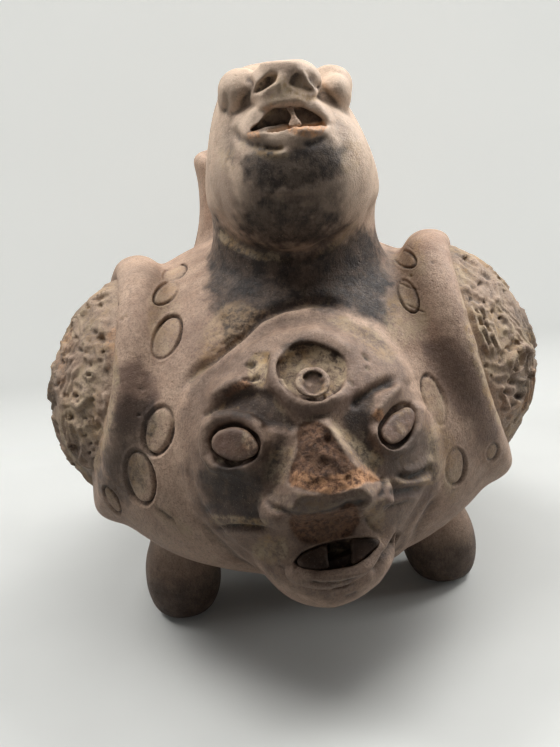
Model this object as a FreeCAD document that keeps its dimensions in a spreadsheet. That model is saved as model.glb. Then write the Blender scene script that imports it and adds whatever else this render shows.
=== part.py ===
import FreeCAD, Part

# A hand-built, low-fired clay effigy jar on three bulb feet.
# Two pinched bowls, luted rim to rim, make a squat hollow body. A broad face in low relief is
# pressed on the front, a rolled collar holds a press-moulded medallion on each side, a stout
# hollow neck carries a small head that looks up with its mouth open, and a round spout with a
# rolled lip stands behind it. Every appliqued coil and pellet is its own piece of clay, cut to
# the surface that it was pressed on.
# Row frame: millimetres, +Z up, the face looks along -Y, +X is on the viewer's right, and the
# origin is on the ground below the middle of the body.

import math
import os
import re

import Sketcher
from FreeCAD import Placement, Rotation, Vector

# Driving dimensions, in millimetres, degrees where the name ends in tilt, bearing, cant, lean or
# splay, and shares where it ends in share.
DRIVING = {
    # The body: a squat oval of revolution, in two bowls that meet at the equator.
    "body_radius": 88.5,
    "equator_height": 80.0,
    "crown_rise": 71.0,
    "belly_drop": 61.0,
    "body_wall": 6.0,
    "side_arc_share": 0.8,
    # The oval marks pressed into both shoulders with a cut cane.
    "stamp_length": 17.0,
    "stamp_width": 9.5,
    "stamp_line": 1.7,
    "stamp_depth": 1.6,
    # The neck under the looking head.
    "neck_radius": 30.0,
    "neck_offset": 4.0,
    "neck_setback": -11.0,
    "neck_wall": 6.0,
    "neck_root_flare": 14.0,
    "neck_root_drop": 21.0,
    "neck_flare_rise": 27.0,
    "neck_straight_rise": 6.0,
    # The looking head: oval sections stacked above the neck, and a round jaw in front.
    "head_rise": 50.0,
    "head_wall": 6.0,
    "head_lean": 4.0,
    "head_half_width": 30.5,
    "jaw_half_width": 27.5,
    "jaw_half_depth": 26.0,
    "jaw_forward": 29.0,
    "jaw_height_share": 0.26,
    "jaw_reach_share": 0.53,
    "gape_width": 23.0,
    "gape_height": 8.0,
    "gape_height_share": 0.68,
    "gape_clearance": 1.6417367,
    "gape_tilt": 46.0,
    "gape_depth": 14.0,
    "gape_corner_sink": 4.0,
    "upper_lip_rise": 6.0,
    "lower_lip_fall": 4.5,
    "lip_roll": 3.3,
    "bridge_radius": 1.4,
    "bridge_offset": 2.5,
    "snout_half_width": 12.5,
    "snout_half_height": 8.0,
    "snout_half_depth": 9.0,
    "snout_height_share": 0.89,
    "snout_clearance": 6.0164706,
    "nostril_radius": 2.7,
    "nostril_spacing": 11.5,
    "nostril_depth": 9.0,
    "nostril_drop": 1.5,
    "head_eye_half_width": 6.0,
    "head_eye_half_length": 9.0,
    "head_eye_half_depth": 6.0,
    "head_eye_height_share": 0.8,
    "head_eye_side_share": 0.8571264,
    "head_eye_clearance": 1.7550459,
    # The spout behind the head.
    "spout_radius": 24.5,
    "spout_offset": -4.0,
    "spout_setback": 50.0,
    "spout_wall": 5.5,
    "spout_root_flare": 12.5,
    "spout_root_drop": 31.0,
    "spout_flare_rise": 40.0,
    "spout_mouth_rise": 13.0,
    "spout_mouth_radius": 25.0,
    "spout_lip_roll": 4.2,
    # The three bulb feet.
    "left_foot_inset": 31.0,
    "left_foot_bearing": 69.0,
    "right_foot_inset": 24.5,
    "right_foot_bearing": 71.0,
    "rear_foot_inset": 28.5,
    "foot_sole_radius": 9.5,
    "foot_bulge_arc": 36.0,
    "foot_ankle_radius": 12.5,
    "foot_ankle_drop": 47.0,
    "foot_hip_radius": 19.0,
    "foot_hip_drop": 18.0,
    "left_foot_splay": 4.0,
    "right_foot_splay": 14.0,
    "rear_foot_splay": 8.0,
    # The side medallions and the rolled collars round them.
    "medallion_radius": 43.0,
    "left_medallion_inset": 14.0,
    "right_medallion_inset": 11.5,
    "medallion_rise": 23.5,
    "left_medallion_tilt": 13.5,
    "right_medallion_tilt": 16.5,
    "left_medallion_cant": 4.0,
    "right_medallion_cant": 14.0,
    "collar_ring_radius": 45.5,
    "collar_roll_radius": 8.5,
    "collar_sink": 7.0,
    "relief_border_radius": 38.0,
    "relief_cord": 1.5,
    "relief_boss_radius": 7.0,
    "relief_pellet_ring_radius": 22.0,
    "relief_pellet_radius": 4.0,
    "relief_bar_length": 10.0,
    "relief_bar_ring_radius": 31.5,
    # The face pressed on the front of the body.
    "mask_radius": 38.0,
    "mask_rise": 19.5,
    "mask_offset": -3.3,
    "mask_inset": 9.5,
    "mask_above": 16.5,
    "mask_tilt": 22.0,
    "mask_lean": 2.0,
    "mask_root_depth": 26.0,
    "muzzle_half_width": 22.5,
    "muzzle_half_height": 21.0,
    "muzzle_half_depth": 22.0,
    "muzzle_drop": 33.0,
    "muzzle_sink": 9.5,
    "mouth_width": 24.0,
    "mouth_lean": 8.0,
    "mouth_height": 8.0,
    "mouth_drop": 34.0,
    "mouth_depth": 12.0,
    "mouth_lip_roll": 2.4,
    "mouth_upper_rise": 5.0,
    "mouth_lower_fall": 5.0,
    "mouth_corner_sink": 4.5,
    "mouth_vent_radius": 4.0,
    "tooth_thickness": 7.0,
    "tooth_gap": 6.0,
    "eye_spacing": 50.0,
    "eye_above": 4.0,
    "eye_ring_radius": 7.8,
    "eye_ring_roll": 2.1,
    "eye_socket_depth": 2.2,
    "eye_pellet_half_width": 5.9,
    "eye_pellet_half_height": 3.9,
    "eye_pellet_half_depth": 3.2,
    "brow_half_length": 11.0,
    "brow_half_width": 3.2,
    "brow_rise": 2.6,
    "brow_above": 15.5,
    "forehead_above": 22.5,
    "forehead_ring_radius": 11.2,
    "forehead_ring_roll": 2.7,
    "forehead_hollow_depth": 2.4,
    "forehead_boss_radius": 4.3,
    "forehead_boss_roll": 1.7,
    "nose_root_width": 9.0,
    "nose_root_facet": 5.0,
    "nose_root_rise": 3.0,
    "nose_base_width": 34.0,
    "nose_base_facet": 20.0,
    "nose_base_rise": 11.0,
    "nose_top_above": 8.5,
    "nose_base_below": 15.0,
    "nose_lip_below": 20.0,
    "nose_wing_half_width": 5.8,
    "nose_wing_half_height": 4.8,
    "nose_wing_half_depth": 6.0,
    "nose_wing_spacing": 28.0,
    "nose_wing_below": 15.5,
    "fold_half_length": 9.5,
    "fold_half_width": 2.6,
    "fold_rise": 2.2,
    "fold_spacing": 8.0,
    "fold_reach": 29.0,
    "fold_below": 9.0,
    # How far a cutting tool runs past the clay that it cuts.
    "overrun": 4.0,
}

# Sizes that follow from the driving ones. Each formula is a cell of the second sheet.
WORKED = {
    "crown_side": "crown_rise * side_arc_share",
    "crown_top": "((body_radius - crown_side)^2 + crown_rise^2 - crown_side^2)"
    " / (2 * (crown_rise - crown_side))",
    "crown_join_x": "(body_radius - crown_side) * crown_top / (crown_top - crown_side)",
    "crown_join_z": "crown_side * (crown_top - crown_rise) / (crown_top - crown_side)",
    "crown_side_in": "crown_side - body_wall",
    "crown_top_in": "crown_top - body_wall",
    "crown_join_in_x": "(body_radius - crown_side) * (crown_top - body_wall)"
    " / (crown_top - crown_side)",
    "crown_join_in_z": "(crown_side - body_wall) * (crown_top - crown_rise)"
    " / (crown_top - crown_side)",
    "crown_rise_in": "crown_rise - body_wall",
    "belly_side": "belly_drop * side_arc_share",
    "belly_bottom": "((body_radius - belly_side)^2 + belly_drop^2 - belly_side^2)"
    " / (2 * (belly_drop - belly_side))",
    "belly_join_x": "(body_radius - belly_side) * belly_bottom / (belly_bottom - belly_side)",
    "belly_join_z": "-belly_side * (belly_bottom - belly_drop) / (belly_bottom - belly_side)",
    "belly_side_in": "belly_side - body_wall",
    "belly_bottom_in": "belly_bottom - body_wall",
    "belly_join_in_x": "(body_radius - belly_side) * (belly_bottom - body_wall)"
    " / (belly_bottom - belly_side)",
    "belly_join_in_z": "-(belly_side - body_wall) * (belly_bottom - belly_drop)"
    " / (belly_bottom - belly_side)",
    "belly_low": "-belly_drop",
    "belly_low_in": "body_wall - belly_drop",
    "body_radius_in": "body_radius - body_wall",
    "crown_height": "equator_height + crown_rise",
    "neck_root_height": "crown_height - neck_root_drop",
    "neck_waist_height": "neck_root_height + neck_flare_rise",
    "neck_top_height": "neck_waist_height + neck_straight_rise",
    "head_top_height": "neck_top_height + head_rise",
    "jaw_height": "neck_top_height + head_rise * jaw_height_share",
    "jaw_half_height": "head_rise * jaw_reach_share",
    "spout_root_height": "crown_height - spout_root_drop",
    "spout_waist_height": "spout_root_height + spout_flare_rise",
    "spout_top_height": "spout_waist_height + spout_mouth_rise",
    "left_foot_reach": "body_radius - left_foot_inset",
    "right_foot_reach": "body_radius - right_foot_inset",
    "rear_foot_reach": "body_radius - rear_foot_inset",
    "foot_ankle_height": "equator_height - foot_ankle_drop",
    "foot_hip_height": "equator_height - foot_hip_drop",
    "left_medallion_reach": "body_radius - left_medallion_inset",
    "right_medallion_reach": "body_radius - right_medallion_inset",
    "mask_forward": "body_radius - mask_inset",
    "mask_centre_height": "equator_height + mask_above",
    "neck_bore": "neck_radius - neck_wall",
    "neck_root_radius": "neck_radius + neck_root_flare",
    "neck_flare_run": "neck_root_radius - neck_radius",
    "neck_flare": "(neck_flare_run^2 + (neck_waist_height - neck_root_height)^2)"
    " / (2 * neck_flare_run)",
    "spout_bore": "spout_radius - spout_wall",
    "spout_root_radius": "spout_radius + spout_root_flare",
    "spout_root_run": "spout_root_radius - spout_radius",
    "spout_root_arc": "(spout_root_run^2 + (spout_waist_height - spout_root_height)^2)"
    " / (2 * spout_root_run)",
    "spout_mouth_run": "spout_mouth_radius - spout_radius",
    "spout_mouth_arc": "(spout_mouth_run^2 + (spout_top_height - spout_waist_height)^2)"
    " / (2 * spout_mouth_run)",
    "spout_mouth_arc_in": "spout_mouth_arc + spout_wall",
    "spout_mouth_in": "spout_radius + spout_mouth_arc"
    " - sqrt(spout_mouth_arc_in^2 - (spout_top_height - spout_waist_height)^2)",
    "spout_lip_radius": "(spout_mouth_radius + spout_mouth_in) / 2",
    "foot_low": "-overrun",
    "foot_hip_run": "foot_hip_radius - foot_ankle_radius",
    "foot_hip_arc": "(foot_hip_run^2 + (foot_hip_height - foot_ankle_height)^2)"
    " / (2 * foot_hip_run)",
    "medallion_dome": "(medallion_radius^2 + medallion_rise^2) / (2 * medallion_rise)",
    "left_medallion_root": "-left_medallion_reach / 2",
    "right_medallion_root": "-right_medallion_reach / 2",
    "mask_dome": "(mask_radius^2 + mask_rise^2) / (2 * mask_rise)",
    "mask_root": "-mask_root_depth",
    "mouth_half_width": "mouth_width / 2 + mouth_lip_roll / 2",
    "mouth_upper_sag": "sqrt(mouth_upper_rise^2 + mouth_corner_sink^2)",
    "mouth_upper_arc": "(mouth_half_width^2 + mouth_upper_sag^2) / (2 * mouth_upper_sag)",
    "mouth_upper_turn": "2 * asin(mouth_half_width / mouth_upper_arc)",
    "mouth_lower_sag": "sqrt(mouth_lower_fall^2 + mouth_corner_sink^2)",
    "mouth_lower_arc": "(mouth_half_width^2 + mouth_lower_sag^2) / (2 * mouth_lower_sag)",
    "mouth_lower_turn": "2 * asin(mouth_half_width / mouth_lower_arc)",
    "eye_hollow_radius": "eye_ring_radius - eye_ring_roll / 2",
    "forehead_hollow_radius": "forehead_ring_radius - forehead_ring_roll / 2",
    "gape_half_width": "gape_width / 2 + lip_roll / 2",
    "upper_lip_sag": "sqrt(upper_lip_rise^2 + gape_corner_sink^2)",
    "upper_lip_arc": "(gape_half_width^2 + upper_lip_sag^2) / (2 * upper_lip_sag)",
    "upper_lip_turn": "2 * asin(gape_half_width / upper_lip_arc)",
    "lower_lip_sag": "sqrt(lower_lip_fall^2 + gape_corner_sink^2)",
    "lower_lip_arc": "(gape_half_width^2 + lower_lip_sag^2) / (2 * lower_lip_sag)",
    "lower_lip_turn": "2 * asin(gape_half_width / lower_lip_arc)",
    "jaw_half_width_in": "jaw_half_width - head_wall",
    "jaw_half_depth_in": "jaw_half_depth - head_wall",
    "jaw_half_height_in": "jaw_half_height - head_wall",
}

# Where each cane mark sits: its bearing round the body from the front, the slope of the wall's
# normal above level, and how far its long axis leans, all in degrees.
LEFT_STAMPS = ((-82, 67, -30), (-62, 62, -10), (-47, 51, 13), (-39, 24, -1), (-44, 6, -2), (-55, -12, 26))
RIGHT_STAMPS = ((60, 65, -40), (39, 55, -4), (29, 27, 5), (32, 1, 9))

# The head's oval sections above the neck: height as a share of the way from the neck's top to
# the head's top, then half width and half depth as shares of the head's half width, and how far
# forward the section stands, again as a share of the half width.
HEAD_SECTION_SHARES = (
    (0.26, 1.0, 1.08, 0.62),
    (0.5, 0.9, 1.0, 0.56),
    (0.74, 0.74, 0.82, 0.4),
    (0.91, 0.54, 0.58, 0.26),
    (1.0, 0.22, 0.26, 0.2),
)

doc = FreeCAD.newDocument("effigy_jar")
pieces = []


def fill_sheet(name, rows):
    """Puts named rows in a spreadsheet, one alias to a row."""
    sheet = doc.addObject("Spreadsheet::Sheet", name)
    for row, (alias, text) in enumerate(rows.items(), start=1):
        sheet.set(f"A{row}", alias)
        sheet.set(f"B{row}", str(text))
        sheet.setAlias(f"B{row}", alias)
    doc.recompute()
    return sheet


def formula(text):
    """A formula as the second sheet reads it: driving names get their sheet's name."""
    words = re.split(r"(\w+)", text)
    return "=" + "".join(f"Sizes.{word}" if word in DRIVING else word for word in words)


sizes = fill_sheet("Sizes", DRIVING)
worked = fill_sheet("Worked", {name: formula(text) for name, text in WORKED.items()})


def ref(name):
    """The expression that binds a property to a named size."""
    return f"Sizes.{name}" if name in DRIVING else f"Worked.{name}"


def size(name):
    """A named size as a number."""
    return float((sizes if name in DRIVING else worked).get(name))


def bind(item, **names):
    """Binds properties of an object to named sizes."""
    for prop, name in names.items():
        item.setExpression(prop, ref(name))
    return item


def pin(sketch, geometry, end, axis, name):
    """Holds one coordinate of a sketch point at a named size, or on the axis when it is 0."""
    if name == 0:
        sketch.addConstraint(
            Sketcher.Constraint("PointOnObject", geometry, end, -2 if axis == "X" else -1)
        )
        return
    number = sketch.addConstraint(
        Sketcher.Constraint(f"Distance{axis}", -1, 1, geometry, end, size(name))
    )
    sketch.setExpression(f"Constraints[{number}]", ref(name))


def arc_between(start, end, radius, bulge):
    """The short arc from start to end. A bulge of 1 swells to the right of the way along, -1 to the left.
    It also says which end of the arc each point is, because sketch arcs run anticlockwise."""
    middle = (start + end) * 0.5
    along = end - start
    half = along.Length / 2
    right = Vector(along.y, -along.x, 0).normalize()
    centre = middle - right * (bulge * math.sqrt(radius**2 - half**2))
    first, last = (start, end) if bulge > 0 else (end, start)
    turn_from = math.atan2(first.y - centre.y, first.x - centre.x)
    turn_to = math.atan2(last.y - centre.y, last.x - centre.x)
    if turn_to < turn_from:
        turn_to += 2 * math.pi
    arc = Part.ArcOfCircle(Part.Circle(centre, Vector(0, 0, 1), radius), turn_from, turn_to)
    return arc, (1, 2) if bulge > 0 else (2, 1)


def origin_plane(body, role):
    """One of a body's own origin planes."""
    return next(f for f in body.Origin.OriginFeatures if f.Role == role)


def new_sketch(body, name, role="XZ_Plane"):
    sketch = body.newObject("Sketcher::SketchObject", name)
    sketch.AttachmentSupport = [(origin_plane(body, role), "")]
    sketch.MapMode = "FlatFace"
    return sketch


def draw_profile(sketch, corners, bows=None):
    """Draws a closed outline. corners names each corner's two coordinates, and bows gives, for
    the side after a corner, the arc's radius and which way it swells."""
    bows = bows or {}
    points = [
        Vector(*(0 if n == 0 else size(n) for n in corner), 0) for corner in corners
    ]
    sides = []
    for i, start in enumerate(points):
        end = points[(i + 1) % len(points)]
        if i in bows:
            radius, bulge = bows[i]
            arc, ends = arc_between(start, end, size(radius), bulge)
            number = sketch.addGeometry(arc)
            held = sketch.addConstraint(Sketcher.Constraint("Radius", number, size(radius)))
            sketch.setExpression(f"Constraints[{held}]", ref(radius))
        else:
            number, ends = sketch.addGeometry(Part.LineSegment(start, end)), (1, 2)
        sides.append((number, *ends))
    for i, (number, first, _) in enumerate(sides):
        before, _, last = sides[i - 1]
        sketch.addConstraint(Sketcher.Constraint("Coincident", before, last, number, first))
        pin(sketch, number, first, "X", corners[i][0])
        pin(sketch, number, first, "Y", corners[i][1])


def turned(name, corners, bows=None):
    """A body turned about its own Z axis from an outline in named sizes."""
    body = doc.addObject("PartDesign::Body", name)
    sketch = new_sketch(body, f"{name}_outline")
    draw_profile(sketch, corners, bows)
    turn = body.newObject("PartDesign::Revolution", f"{name}_turn")
    turn.Profile = sketch
    turn.ReferenceAxis = (sketch, ["V_Axis"])
    turn.Angle = 360
    doc.recompute()
    return body


def primitive(kind, name, **names):
    return bind(doc.addObject(f"Part::{kind}", name), **names)


def cut(name, base, *tools):
    """The base less every tool."""
    for number, tool in enumerate(tools):
        last = number == len(tools) - 1
        step = doc.addObject("Part::Cut", name if last else f"{name}_step_{number}")
        step.Base, step.Tool = base, tool
        base = step
    return base


def fuse(name, *shapes):
    joined = doc.addObject("Part::MultiFuse", name)
    joined.Shapes = list(shapes)
    return joined


def group(name, *shapes):
    held = doc.addObject("Part::Compound", name)
    held.Links = list(shapes)
    return held


def finish(item, label):
    """Marks an object as a finished piece of clay."""
    item.Label = label
    pieces.append(item)
    return item


def fixed_shape(name, shape, placement=None):
    """An object whose shape is made here, for forms that no sketch or primitive gives."""
    item = doc.addObject("Part::Feature", name)
    item.Shape = shape
    if placement is not None:
        item.Placement = placement
    return item


def facing(origin, bearing, tilt, lean=0):
    """A frame whose Z looks out from the body at a bearing from the front and a tilt above level."""
    turn = Rotation(Vector(0, 0, 1), bearing) * Rotation(Vector(1, 0, 0), 90 - tilt)
    return Placement(origin, turn * Rotation(Vector(0, 0, 1), lean))


def shift(frame, right=0, up=0, out=0):
    return frame * Placement(Vector(right, up, out), Rotation())


def on_dome(frame, dome_radius, rise, right, up, spin=0):
    """A frame on a dome's surface, looking straight out of it. frame is at the dome's foot."""
    centre = Vector(0, 0, rise - dome_radius)
    out = Vector(right, up, math.sqrt(dome_radius**2 - right**2 - up**2))
    turn = Rotation(Vector(0, 0, 1), out) * Rotation(Vector(0, 0, 1), spin)
    return frame * Placement(centre + out, turn)


def axis_frame(x, y, z=0):
    return Placement(Vector(x, y, z), Rotation())


def oval_prism(length, width, depth, frame):
    """An upright prism of oval section, centred on the frame and sunk and raised by depth."""
    longer, shorter = max(length, width) / 2, min(length, width) / 2
    ellipse = Part.Ellipse(Vector(0, 0, 0), longer, shorter)
    turn = Rotation(Vector(0, 0, 1), 0 if length >= width else 90)
    face = Part.Face(Part.Wire(ellipse.toShape()))
    prism = face.extrude(Vector(0, 0, 2 * depth))
    prism.Placement = frame * Placement(Vector(0, 0, -depth), turn)
    return prism


body_centre = Vector(0, 0, size("equator_height"))


def make_body_core():
    """The body's outer form as one solid, which every luted piece is cut to."""
    core = turned(
        "body_core",
        [(0, "belly_low"), ("belly_join_x", "belly_join_z"), ("body_radius", 0), ("crown_join_x", "crown_join_z"), (0, "crown_rise")],
        {0: ("belly_bottom", 1), 1: ("belly_side", 1), 2: ("crown_side", 1), 3: ("crown_top", 1)},
    )
    core.setExpression("Placement.Base.z", ref("equator_height"))
    return core


def wall_point(bearing, slope):
    """The point of the body's wall where its normal has this bearing and slope."""
    radius, join_x, join_z = size("body_radius"), size("crown_join_x"), size("crown_join_z")
    upper = slope >= 0
    side = size("crown_side" if upper else "belly_side")
    top_arc = size("crown_top" if upper else "belly_bottom")
    rise = size("crown_rise" if upper else "belly_drop")
    angle = math.radians(abs(slope))
    if not upper:
        join_x, join_z = size("belly_join_x"), -size("belly_join_z")
    if angle < math.atan2(join_z, join_x - (radius - side)):
        out, high = radius - side + side * math.cos(angle), side * math.sin(angle)
    else:
        out, high = top_arc * math.cos(angle), rise - top_arc + top_arc * math.sin(angle)
    turn = math.radians(bearing)
    level = high if upper else -high
    return body_centre + Vector(out * math.sin(turn), -out * math.cos(turn), level)


def make_stamps():
    """The rings that the cane left: an oval groove round a pad, no deeper than the stamp."""
    length, width, line = size("stamp_length"), size("stamp_width"), size("stamp_line")
    depth = size("stamp_depth")
    rings = []
    for bearing, slope, lean in LEFT_STAMPS + RIGHT_STAMPS:
        point = wall_point(bearing, slope)
        frame = facing(point, bearing, slope, lean + 90)
        ring = oval_prism(length, width, depth, frame)
        rings.append(ring.cut(oval_prism(length - 2 * line, width - 2 * line, 2 * depth, frame)))
    return fixed_shape("stamp_rings", Part.makeCompound(rings))


def make_bowls(core, stamps, neck_hole, spout_hole, vent):
    """The two pinched bowls of the body, with the passages into the neck, spout and mouth."""
    crown = turned(
        "crown_shell",
        [("body_radius_in", 0), ("body_radius", 0), ("crown_join_x", "crown_join_z"), (0, "crown_rise"), (0, "crown_rise_in"), ("crown_join_in_x", "crown_join_in_z")],
        {1: ("crown_side", 1), 2: ("crown_top", 1), 4: ("crown_top_in", -1), 5: ("crown_side_in", -1)},
    )
    belly = turned(
        "belly_shell",
        [("body_radius", 0), ("body_radius_in", 0), ("belly_join_in_x", "belly_join_in_z"), (0, "belly_low_in"), (0, "belly_low"), ("belly_join_x", "belly_join_z")],
        {1: ("belly_side_in", -1), 2: ("belly_bottom_in", -1), 4: ("belly_bottom", 1), 5: ("belly_side", 1)},
    )
    for shell in (crown, belly):
        shell.setExpression("Placement.Base.z", ref("equator_height"))
    finish(cut("upper_bowl_cut", crown, neck_hole, spout_hole, stamps), "body_upper_bowl")
    finish(cut("lower_bowl_cut", belly, vent, stamps), "body_lower_bowl")


def make_neck(core):
    """The stout hollow neck, flared where it is luted to the crown."""
    tube = turned(
        "neck_tube",
        [("neck_bore", "neck_root_height"), ("neck_root_radius", "neck_root_height"), ("neck_radius", "neck_waist_height"), ("neck_radius", "neck_top_height"), ("neck_bore", "neck_top_height")],
        {1: ("neck_flare", -1)},
    )
    tube.Placement = axis_frame(size("neck_offset"), size("neck_setback"))
    post = primitive("Cylinder", "neck_post", Radius="neck_radius", Height="neck_top_height")
    post.Placement = tube.Placement
    hole = primitive("Cylinder", "neck_hole", Radius="neck_bore", Height="neck_top_height")
    hole.Placement = shift(tube.Placement, out=size("equator_height"))
    finish(cut("neck_cut", tube, core), "neck")
    return post, hole


def make_spout(core):
    """The round spout: a flared root, a waist, an everted mouth and a rolled lip."""
    tube = turned(
        "spout_tube",
        [
            ("spout_bore", "spout_root_height"),
            ("spout_root_radius", "spout_root_height"),
            ("spout_radius", "spout_waist_height"),
            ("spout_mouth_radius", "spout_top_height"),
            ("spout_mouth_in", "spout_top_height"),
            ("spout_bore", "spout_waist_height"),
        ],
        {1: ("spout_root_arc", -1), 2: ("spout_mouth_arc", -1), 4: ("spout_mouth_arc_in", 1)},
    )
    tube.Placement = axis_frame(size("spout_offset"), size("spout_setback"))
    hole = primitive("Cylinder", "spout_hole", Radius="spout_bore", Height="spout_top_height")
    hole.Placement = shift(tube.Placement, out=size("equator_height"))
    finish(cut("spout_cut", tube, core), "spout")
    roll = primitive("Torus", "spout_lip_coil", Radius1="spout_lip_radius", Radius2="spout_lip_roll")
    roll.Placement = shift(tube.Placement, out=size("spout_top_height"))
    finish(cut("spout_lip_cut", roll, tube), "spout_lip")
    return hole


def make_foot(label, core, ground, reach, bearing, splay):
    """One solid bulb foot, leaning outwards, cut to the belly above and flat on the ground."""
    leg = turned(
        f"{label}_bulb",
        [(0, "foot_low"), ("foot_sole_radius", "foot_low"), ("foot_ankle_radius", "foot_ankle_height"), ("foot_hip_radius", "foot_hip_height"), (0, "foot_hip_height")],
        {1: ("foot_bulge_arc", 1), 2: ("foot_hip_arc", -1)},
    )
    turn = Rotation(Vector(0, 0, 1), bearing)
    out = turn.multVec(Vector(0, -reach, 0))
    leg.Placement = Placement(out, turn * Rotation(Vector(1, 0, 0), -splay))
    finish(cut(f"{label}_cut", leg, ground, core), label)


def make_feet(core):
    reach = 2 * size("body_radius")
    slab = Part.makeBox(2 * reach, 2 * reach, reach, Vector(-reach, -reach, -reach))
    ground = fixed_shape("ground", slab)
    for side, sign in (("left", -1), ("right", 1)):
        reach, splay = size(f"{side}_foot_reach"), size(f"{side}_foot_splay")
        make_foot(f"front_{side}_foot", core, ground, reach, sign * size(f"{side}_foot_bearing"), splay)
    make_foot("rear_foot", core, ground, size("rear_foot_reach"), 180, size("rear_foot_splay"))


def relief_forms(side, frame):
    """The main forms of a medallion's moulded relief: a corded border, a ringed boss, pellets
    round it and short bars outside them."""
    dome, rise = size("medallion_dome"), size("medallion_rise")
    forms = []

    def place(item, right, up, spin=0):
        item.Placement = on_dome(frame, dome, rise, right, up, spin)
        forms.append(item)

    border = primitive("Torus", f"{side}_border", Radius1="relief_border_radius", Radius2="relief_cord")
    level = rise - dome + math.sqrt(dome**2 - size("relief_border_radius") ** 2)
    border.Placement = shift(frame, out=level)
    forms.append(border)
    place(primitive("Torus", f"{side}_boss_ring", Radius1="relief_boss_radius", Radius2="relief_cord"), 0, 0)
    place(primitive("Sphere", f"{side}_boss", Radius="relief_pellet_radius"), 0, 0)
    count = 7
    for number in range(count):
        angle = 2 * math.pi * number / count
        ring = size("relief_pellet_ring_radius")
        pellet = primitive("Ellipsoid", f"{side}_pellet_{number}", Radius1="relief_cord", Radius2="relief_pellet_radius", Radius3="relief_pellet_radius")
        place(pellet, ring * math.cos(angle), ring * math.sin(angle))
        half = angle + math.pi / count
        ring = size("relief_bar_ring_radius")
        bar = primitive("Ellipsoid", f"{side}_bar_{number}", Radius1="relief_cord", Radius2="relief_bar_length", Radius3="relief_cord")
        bar.setExpression("Radius2", f"{ref('relief_bar_length')} / 2")
        place(bar, ring * math.cos(half), ring * math.sin(half), math.degrees(half))
    return forms


def make_medallion(side, core, cant):
    """One press-moulded medallion and the rolled collar of clay that beds it on the shoulder."""
    sign = -1 if side == "left" else 1
    tilt = size(f"{side}_medallion_tilt")
    bearing = sign * (90 - cant)
    frame = shift(facing(body_centre, bearing, tilt), out=size(f"{side}_medallion_reach"))
    plaque = turned(
        f"{side}_plaque",
        [
            (0, f"{side}_medallion_root"),
            ("medallion_radius", f"{side}_medallion_root"),
            ("medallion_radius", 0),
            (0, "medallion_rise"),
        ],
        {2: ("medallion_dome", 1)},
    )
    plaque.Placement = frame
    whole = fuse(f"{side}_plaque_and_relief", plaque, *relief_forms(side, frame))
    finish(cut(f"{side}_plaque_cut", whole, core), f"{side}_medallion")
    roll = primitive("Torus", f"{side}_roll", Radius1="collar_ring_radius", Radius2="collar_roll_radius")
    roll.Placement = shift(frame, out=-size("collar_sink"))
    seat = primitive("Cylinder", f"{side}_seat", Radius="medallion_radius", Height="body_radius")
    seat.Placement = shift(frame, out=-size("body_radius") / 2)
    return cut(f"{side}_collar_cut", roll, core, seat)


def head_frame(forward, height, right=0):
    """A level frame on the head, moved and turned by the head's lean to the left."""
    lean = size("head_lean")
    drift = math.tan(math.radians(lean)) * (height - size("neck_top_height"))
    middle = Vector(size("neck_offset") + right - drift, -forward, height)
    return Placement(middle, Rotation(Vector(0, 1, 0), -lean))


def head_front(share, side_share=0):
    """How high the point is at a share of the head's height, how far to the side it is at a share
    of the head's half width there, and how far forward the head's oval is at that place."""
    half, rise = size("head_half_width"), size("head_rise")
    root = (0, size("neck_radius") / half, size("neck_radius") / half, -size("neck_setback") / half)
    rows = (root,) + HEAD_SECTION_SHARES
    number = next((i for i, row in enumerate(rows[1:]) if share <= row[0]), len(rows) - 2)
    below, above = rows[number], rows[number + 1]
    part = (share - below[0]) / (above[0] - below[0])
    wide, deep, fore = (low + part * (high - low) for low, high in zip(below[1:], above[1:]))
    forward = (fore + deep * math.sqrt(1 - side_share**2)) * half
    return size("neck_top_height") + share * rise, side_share * wide * half, forward


def jaw_front(height):
    """How far forward the round jaw is at a height, or its middle where it doesn't reach."""
    level = (height - size("jaw_height")) / size("jaw_half_height")
    return size("jaw_forward") + size("jaw_half_depth") * math.sqrt(max(0, 1 - level**2))


def stacked(name, rows, wall=None):
    """A smooth solid through level ovals above the neck, each drawn in by a wall."""
    low, rise = size("neck_top_height"), size("head_top_height") - size("neck_top_height")
    inset = f" - {ref(wall)}" if wall else ""
    ovals = []
    root = doc.addObject("Part::Ellipse", f"{name}_oval")
    root.setExpression("MajorRadius", ref("neck_radius") + inset)
    root.setExpression("MinorRadius", ref("neck_radius") + inset)
    quarter = Rotation(Vector(0, 0, 1), 90)
    root.Placement = Placement(Vector(size("neck_offset"), size("neck_setback"), low), quarter)
    ovals.append(root)
    for number, (height, wide, deep, fore) in enumerate(rows):
        oval = doc.addObject("Part::Ellipse", f"{name}_oval_{number}")
        oval.setExpression("MajorRadius", f"{ref('head_half_width')} * {deep}{inset}")
        oval.setExpression("MinorRadius", f"{ref('head_half_width')} * {wide}{inset}")
        middle = head_frame(fore * size("head_half_width"), low + height * rise).Base
        oval.Placement = Placement(middle, quarter)
        ovals.append(oval)
    loft = doc.addObject("Part::Loft", name)
    loft.Sections = ovals
    loft.Solid = True
    return loft


def lobe(name, placement, across, up, out):
    """An egg of clay, its three half lengths along a frame's right, up and outward ways."""
    egg = primitive("Ellipsoid", name, Radius2=across, Radius3=up, Radius1=out)
    egg.Placement = placement
    return egg


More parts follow.
